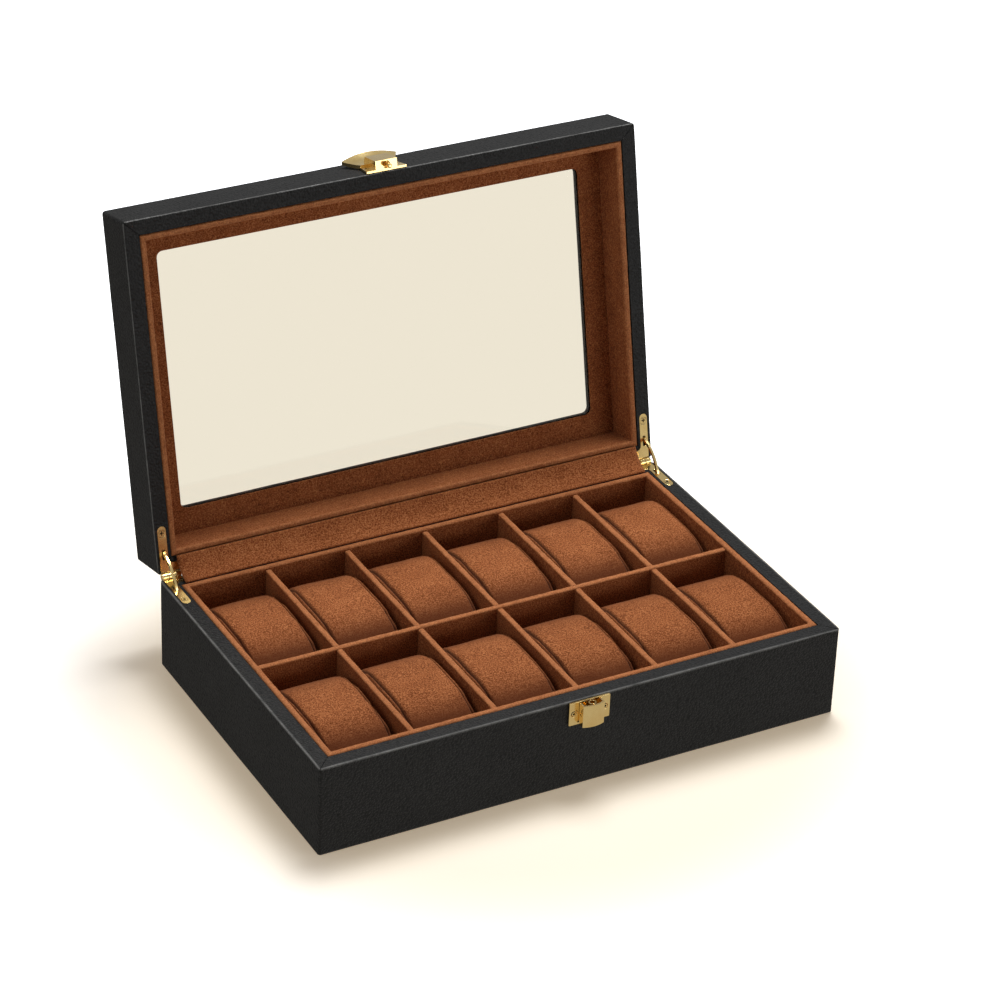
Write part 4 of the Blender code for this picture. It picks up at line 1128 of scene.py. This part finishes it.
def makeHingeCover():
    low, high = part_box("hinge_cover")
    low.x -= coverShape["spare"]
    high.x += coverShape["spare"]
    half = Vector((math.cos(lidTurn / 2), math.sin(lidTurn / 2)))
    start = Vector((coverShape["reach"], coverShape["rise"]))
    end = 2 * start.dot(half) * half - start
    pull = (start + end) / 2 - half * 2 * coverShape["sag"]

    def atPin(x, spot):
        # a spot of the cross section, measured from the hinge pin
        return Vector((x, lidPin.y - spot.x, lidPin.z + spot.y))

    bm = bmesh.new()
    rows = coverShape["rows"]
    columns = round((high.x - low.x) / coverShape["columnStep"])
    grid = []
    for row in range(rows + 1):
        share = row / rows
        spot = (1 - share) ** 2 * start + 2 * share * (1 - share) * pull + share**2 * end
        line = []
        for column in range(columns + 1):
            x = low.x + (high.x - low.x) * column / columns
            wander = noise.noise(Vector((x / coverShape["slackSize"], 0.3, 0.0)))
            slack = math.sin(math.pi * share) * wander * coverShape["slack"]
            line.append(bm.verts.new(atPin(x, spot - half * slack)))
        grid.append(line)
    for first, second in zip(grid, grid[1:]):
        for column in range(columns):
            bm.faces.new((first[column], first[column + 1], second[column + 1], second[column]))
    bm.normal_update()
    made = meshObject("hingeCoverCloth", storeMesh(bm, "hingeCoverCloth", 80), suede)
    wall = made.modifiers.new("thickness", "SOLIDIFY")
    wall.thickness = coverShape["thickness"]
    wall.offset = 0
    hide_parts("hinge_cover")
    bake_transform(made)


makeHingeCover()
makeFlatPiece("feltPadSoft", "felt_pad", "base", felt, "black_felt", 0.3 * mm, 30)
print("watch box: hinge cover and felt made")


# Brass fittings: copies of the frame's own pieces with their edges eased

brassNodes = {
    "base": [
        "base_leaf_left",
        "base_leaf_right",
        "hinge_pin_left",
        "hinge_pin_right",
        "catch_plate",
        "catch_socket",
        "catch_pin",
        "catch_spring",
    ],
    "lid": ["lid_leaf_left", "lid_leaf_right", "latch_plate", "latch_stud"],
    "stay_left": ["stay_left"],
    "stay_right": ["stay_right"],
    "catch_lever": ["catch_lever"],
}


def makeBrassPiece(node, body):
    bm = copyMesh(node)
    bmesh.ops.dissolve_degenerate(bm, dist=tiny, edges=bm.edges)
    name = joinedName("brass", node.split("_"))
    made = meshObject(name, storeMesh(bm, name, 32), brass)
    easeEdges(made, "easedEdge", 0.12 * mm, 2, 40)
    place(made, body, "polished_brass", node)


for body, members in brassNodes.items():
    for node in members:
        makeBrassPiece(node, body)
print("watch box: brass fittings made")


# Wood screws: one Geometry Nodes tree turns a countersunk head and cuts its cross

screwShape = {
    "headDepth": 0.9 * mm,
    "shank": 0.8 * mm,
    "crossWide": 0.62 * mm,
    "crossDeep": 0.55 * mm,
    "crossLong": 1.15,  # a blade's length in head radii
    "crossGrime": 0.62,  # how far the painted shade goes out, in countersink radii
    "ringGap": 0.20 * mm,  # how far the head stays inside its countersink
    "headSides": 40,
    "shankSides": 20,
}


def makeScrewTree():
    inputs = {
        "Head Radius": 0.0017,
        "Head Depth": 0.0009,
        "Shank Radius": 0.0008,
        "Length": 0.008,
        "Cross Width": 0.00034,
        "Cross Depth": 0.00055,
    }
    tree, given, result = geometryTree("woodScrew", inputs)
    head = setInputs(
        addNode(tree, "GeometryNodeMeshCone"),
        Vertices=screwShape["headSides"],
        Radius_Bottom=given["Head Radius"],
        Radius_Top=given["Shank Radius"],
        Depth=given["Head Depth"],
    )
    shank = addNode(tree, "GeometryNodeMeshCylinder")
    setInputs(shank, Vertices=screwShape["shankSides"], Radius=given["Shank Radius"], Depth=given["Length"])
    lower = linkVector(tree, 0.0, 0.0, mathNode(tree, "MULTIPLY", given["Length"], 0.5))
    lowered = addNode(tree, "GeometryNodeTransform")
    setInputs(lowered, Geometry=shank.outputs["Mesh"], Translation=lower)
    solid = addNode(tree, "GeometryNodeMeshBoolean", operation="UNION", solver="EXACT")
    setInputs(solid, Mesh_2=[head.outputs["Mesh"], lowered.outputs[0]])
    reach = mathNode(tree, "MULTIPLY", given["Head Radius"], screwShape["crossLong"])
    deep = mathNode(tree, "MULTIPLY", given["Cross Depth"], 2.0)
    blade = addNode(tree, "GeometryNodeMeshCube")
    setInputs(blade, Size=linkVector(tree, reach, given["Cross Width"], deep))
    turned = addNode(tree, "GeometryNodeTransform")
    setInputs(turned, Geometry=blade.outputs["Mesh"], Rotation=(0, 0, math.pi / 2))
    cross = addNode(tree, "GeometryNodeMeshBoolean", operation="DIFFERENCE", solver="EXACT")
    setInputs(cross, Mesh_1=solid.outputs["Mesh"], Mesh_2=[blade.outputs["Mesh"], turned.outputs[0]])
    return finishTree(tree, cross.outputs["Mesh"], given["Material"], result)


screwTree = makeScrewTree()


def makeScrew(node, body, inward):
    # inward is the way that the screw is driven; the head's face is where the node's box starts
    low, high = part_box(node)
    way = Vector(inward).normalized()
    points = [vert.co for vert in frame["nodes"][node].data.vertices]
    along = [point.dot(way) for point in points]
    start, end = min(along), max(along)
    middle = (low + high) / 2
    face = middle + way * (start - middle.dot(way))
    radius = max((point - face - way * (point - face).dot(way)).length for point in points)
    mesh = runTree(
        node,
        screwTree,
        brass,
        Head_Radius=radius - screwShape["ringGap"],
        Head_Depth=screwShape["headDepth"],
        Shank_Radius=screwShape["shank"],
        Length=end - start,
        Cross_Width=screwShape["crossWide"],
        Cross_Depth=screwShape["crossDeep"],
    )
    # painted shade in the cross and round the head, where shade falls
    grime = mesh.attributes.new("grime", "FLOAT", "POINT")
    for vert in mesh.vertices:
        central = math.hypot(vert.co.x, vert.co.y) < screwShape["crossGrime"] * radius
        inCross = central and vert.co.z > screwShape["crossDeep"] / 2
        onRim = vert.co.z > screwShape["headDepth"] / 2
        grime.data[vert.index].value = 1.0 if inCross or onRim else 0.0
    turned = way.to_track_quat("Z", "X").to_matrix().to_4x4()
    mesh.transform(Matrix.Translation(face) @ turned)
    mesh.shade_smooth()
    mesh.set_sharp_from_angle(angle=math.radians(30))
    name = joinedName("woodScrew", [part for part in node.split("_") if part != "screw"])
    place(meshObject(name, mesh, brass), body, "polished_brass", node)


lidUp = lidOpening.to_3x3() @ Vector((0, 0, 1))
lidIn = lidOpening.to_3x3() @ Vector((0, 1, 0))
for side in ("left", "right"):
    makeScrew(f"base_leaf_screw_{side}", "base", (0, 0, -1))
    makeScrew(f"catch_screw_{side}", "base", (0, 1, 0))
    makeScrew(f"lid_leaf_screw_{side}", "lid", lidUp)
    makeScrew(f"latch_screw_{side}", "lid", lidIn)
print("watch box: screws made")


# Nodes that keep their own mesh


def coverNode(node, surface):
    data = frame["nodes"][node].data
    data.materials.clear()
    data.materials.append(surface)


for part in ("base", "lid"):
    for wall, surface in (("front", woodX), ("back", woodX), ("left", woodY), ("right", woodY)):
        coverNode(f"{part}_{wall}_board", surface)
coverNode("bottom_board", woodX)
coverNode("window_board", woodX)
coverNode("window_glass", glass)


# Studio: a pale floor, soft lamps and a plain world

studioSet = {
    "floor": 6.0,
    "floorLevel": -0.1 * mm,
    "floorColour": (0.80, 0.750, 0.665),
    "floorGrit": 0.985,  # how bright the floor's darker spots are
    "floorFar": (0.80, 0.80, 0.80),
    "floorMirrored": (0.50, 0.47, 0.42),
    "white": (1.0, 1.0, 1.0),
    "backdropCream": (0.878, 0.806, 0.664),  # what the photograph shows through the glass
    "world": 0.09,
    "worldColour": (1.0, 0.99, 0.97, 1),
    "mirrored": 0.42,  # how bright the backdrop is in the brass
    "glowNear": (0.33, 0.262, 0.180),  # the floor's own brightness beside the box, low and beige as a painted shadow
    "glowFar": (0.95, 0.96, 1.0),
    "glowReach": (0.16, 0.32),
}


def stageMaterial(name):
    made, tree, shader, vector = startMaterial(name)
    grit = noiseNode(tree, vector, 7.0, 3.0, 0.5)
    pale = studioSet["floorColour"]
    spots = mixColour(tree, grit, pale, tuple(part * studioSet["floorGrit"] for part in pale))
    paths = addNode(tree, "ShaderNodeLightPath").outputs
    # painted shadow: the floor's colour and own brightness are low and beige beside the object and grow
    # away from it, so that it ends in the white backdrop
    away = setInputs(addNode(tree, "ShaderNodeVectorMath", operation="LENGTH"), Vector=vector)
    reach = studioSet["glowReach"]
    paintedShadowFade = rangeNode(tree, away.outputs["Value"], 0.0, 1.0, *reach, interpolation_type="SMOOTHSTEP")
    setInputs(
        shader,
        Base_Color=mixColour(tree, paintedShadowFade, spots, studioSet["floorFar"]),
        Roughness=0.7,
        Specular_IOR_Level=0.2,
        Emission_Color=mixColour(tree, paintedShadowFade, studioSet["glowNear"], studioSet["glowFar"]),
        Emission_Strength=paths["Is Camera Ray"],
    )
    shown = shader.outputs[0]
    for ray, colour in (("Is Glossy Ray", "floorMirrored"), ("Is Transmission Ray", "backdropCream")):
        plain = feed(addNode(tree, "ShaderNodeEmission"), (*studioSet[colour], 1))
        shown = feed(addNode(tree, "ShaderNodeMixShader"), paths[ray], shown, plain)
    setInputs(tree.nodes["Material Output"], Surface=shown)
    return made


def makeFloor():
    bm = bmesh.new()
    bmesh.ops.create_grid(bm, x_segments=4, y_segments=4, size=studioSet["floor"] / 2)
    mesh = bpy.data.meshes.new("studioFloor")
    bm.to_mesh(mesh)
    bm.free()
    floor = meshObject("studioFloor", mesh, stageMaterial("paleFloor"))
    floor.location.z = studioSet["floorLevel"]


def makeWorld():
    world = bpy.data.worlds.new("studioWorld")
    bpy.context.scene.world = world
    world.use_nodes = True
    tree = world.node_tree
    shown = feed(tree.nodes["Background"], studioSet["worldColour"], studioSet["world"])
    paths = addNode(tree, "ShaderNodeLightPath").outputs
    seenBy = (
        ("Is Camera Ray", studioSet["white"], 1.0),
        ("Is Glossy Ray", studioSet["white"], studioSet["mirrored"]),
        ("Is Transmission Ray", studioSet["backdropCream"], 1.0),
    )
    for ray, colour, strength in seenBy:
        seen = feed(addNode(tree, "ShaderNodeBackground"), (*colour, 1), strength)
        shown = feed(addNode(tree, "ShaderNodeMixShader"), paths[ray], shown, seen)
    setInputs(tree.nodes["World Output"], Surface=shown)


lampSet = {
    "keySoftbox": {"place": (0.36, 0.42, 1.60), "size": (0.7, 0.7), "power": 28.0},
    "frontStrip": {"place": (0.85, -1.50, 0.32), "size": (1.1, 0.45), "power": 5.5},
    "leftFill": {"place": (-1.60, -0.20, 0.80), "size": (1.0, 1.0), "power": 3.4},
}
lampTarget = Vector((0, 0, 0.06))


def makeLamps():
    for name, values in lampSet.items():
        data = bpy.data.lights.new(name, "AREA")
        data.shape = "RECTANGLE"
        data.size, data.size_y = values["size"]
        data.energy = values["power"]
        lamp = bpy.data.objects.new(name, data)
        lamp.location = values["place"]
        lamp.rotation_euler = (lampTarget - lamp.location).to_track_quat("-Z", "Y").to_euler()
        bpy.context.scene.collection.objects.link(lamp)


makeFloor()
makeWorld()
makeLamps()
print("watch box: studio made")
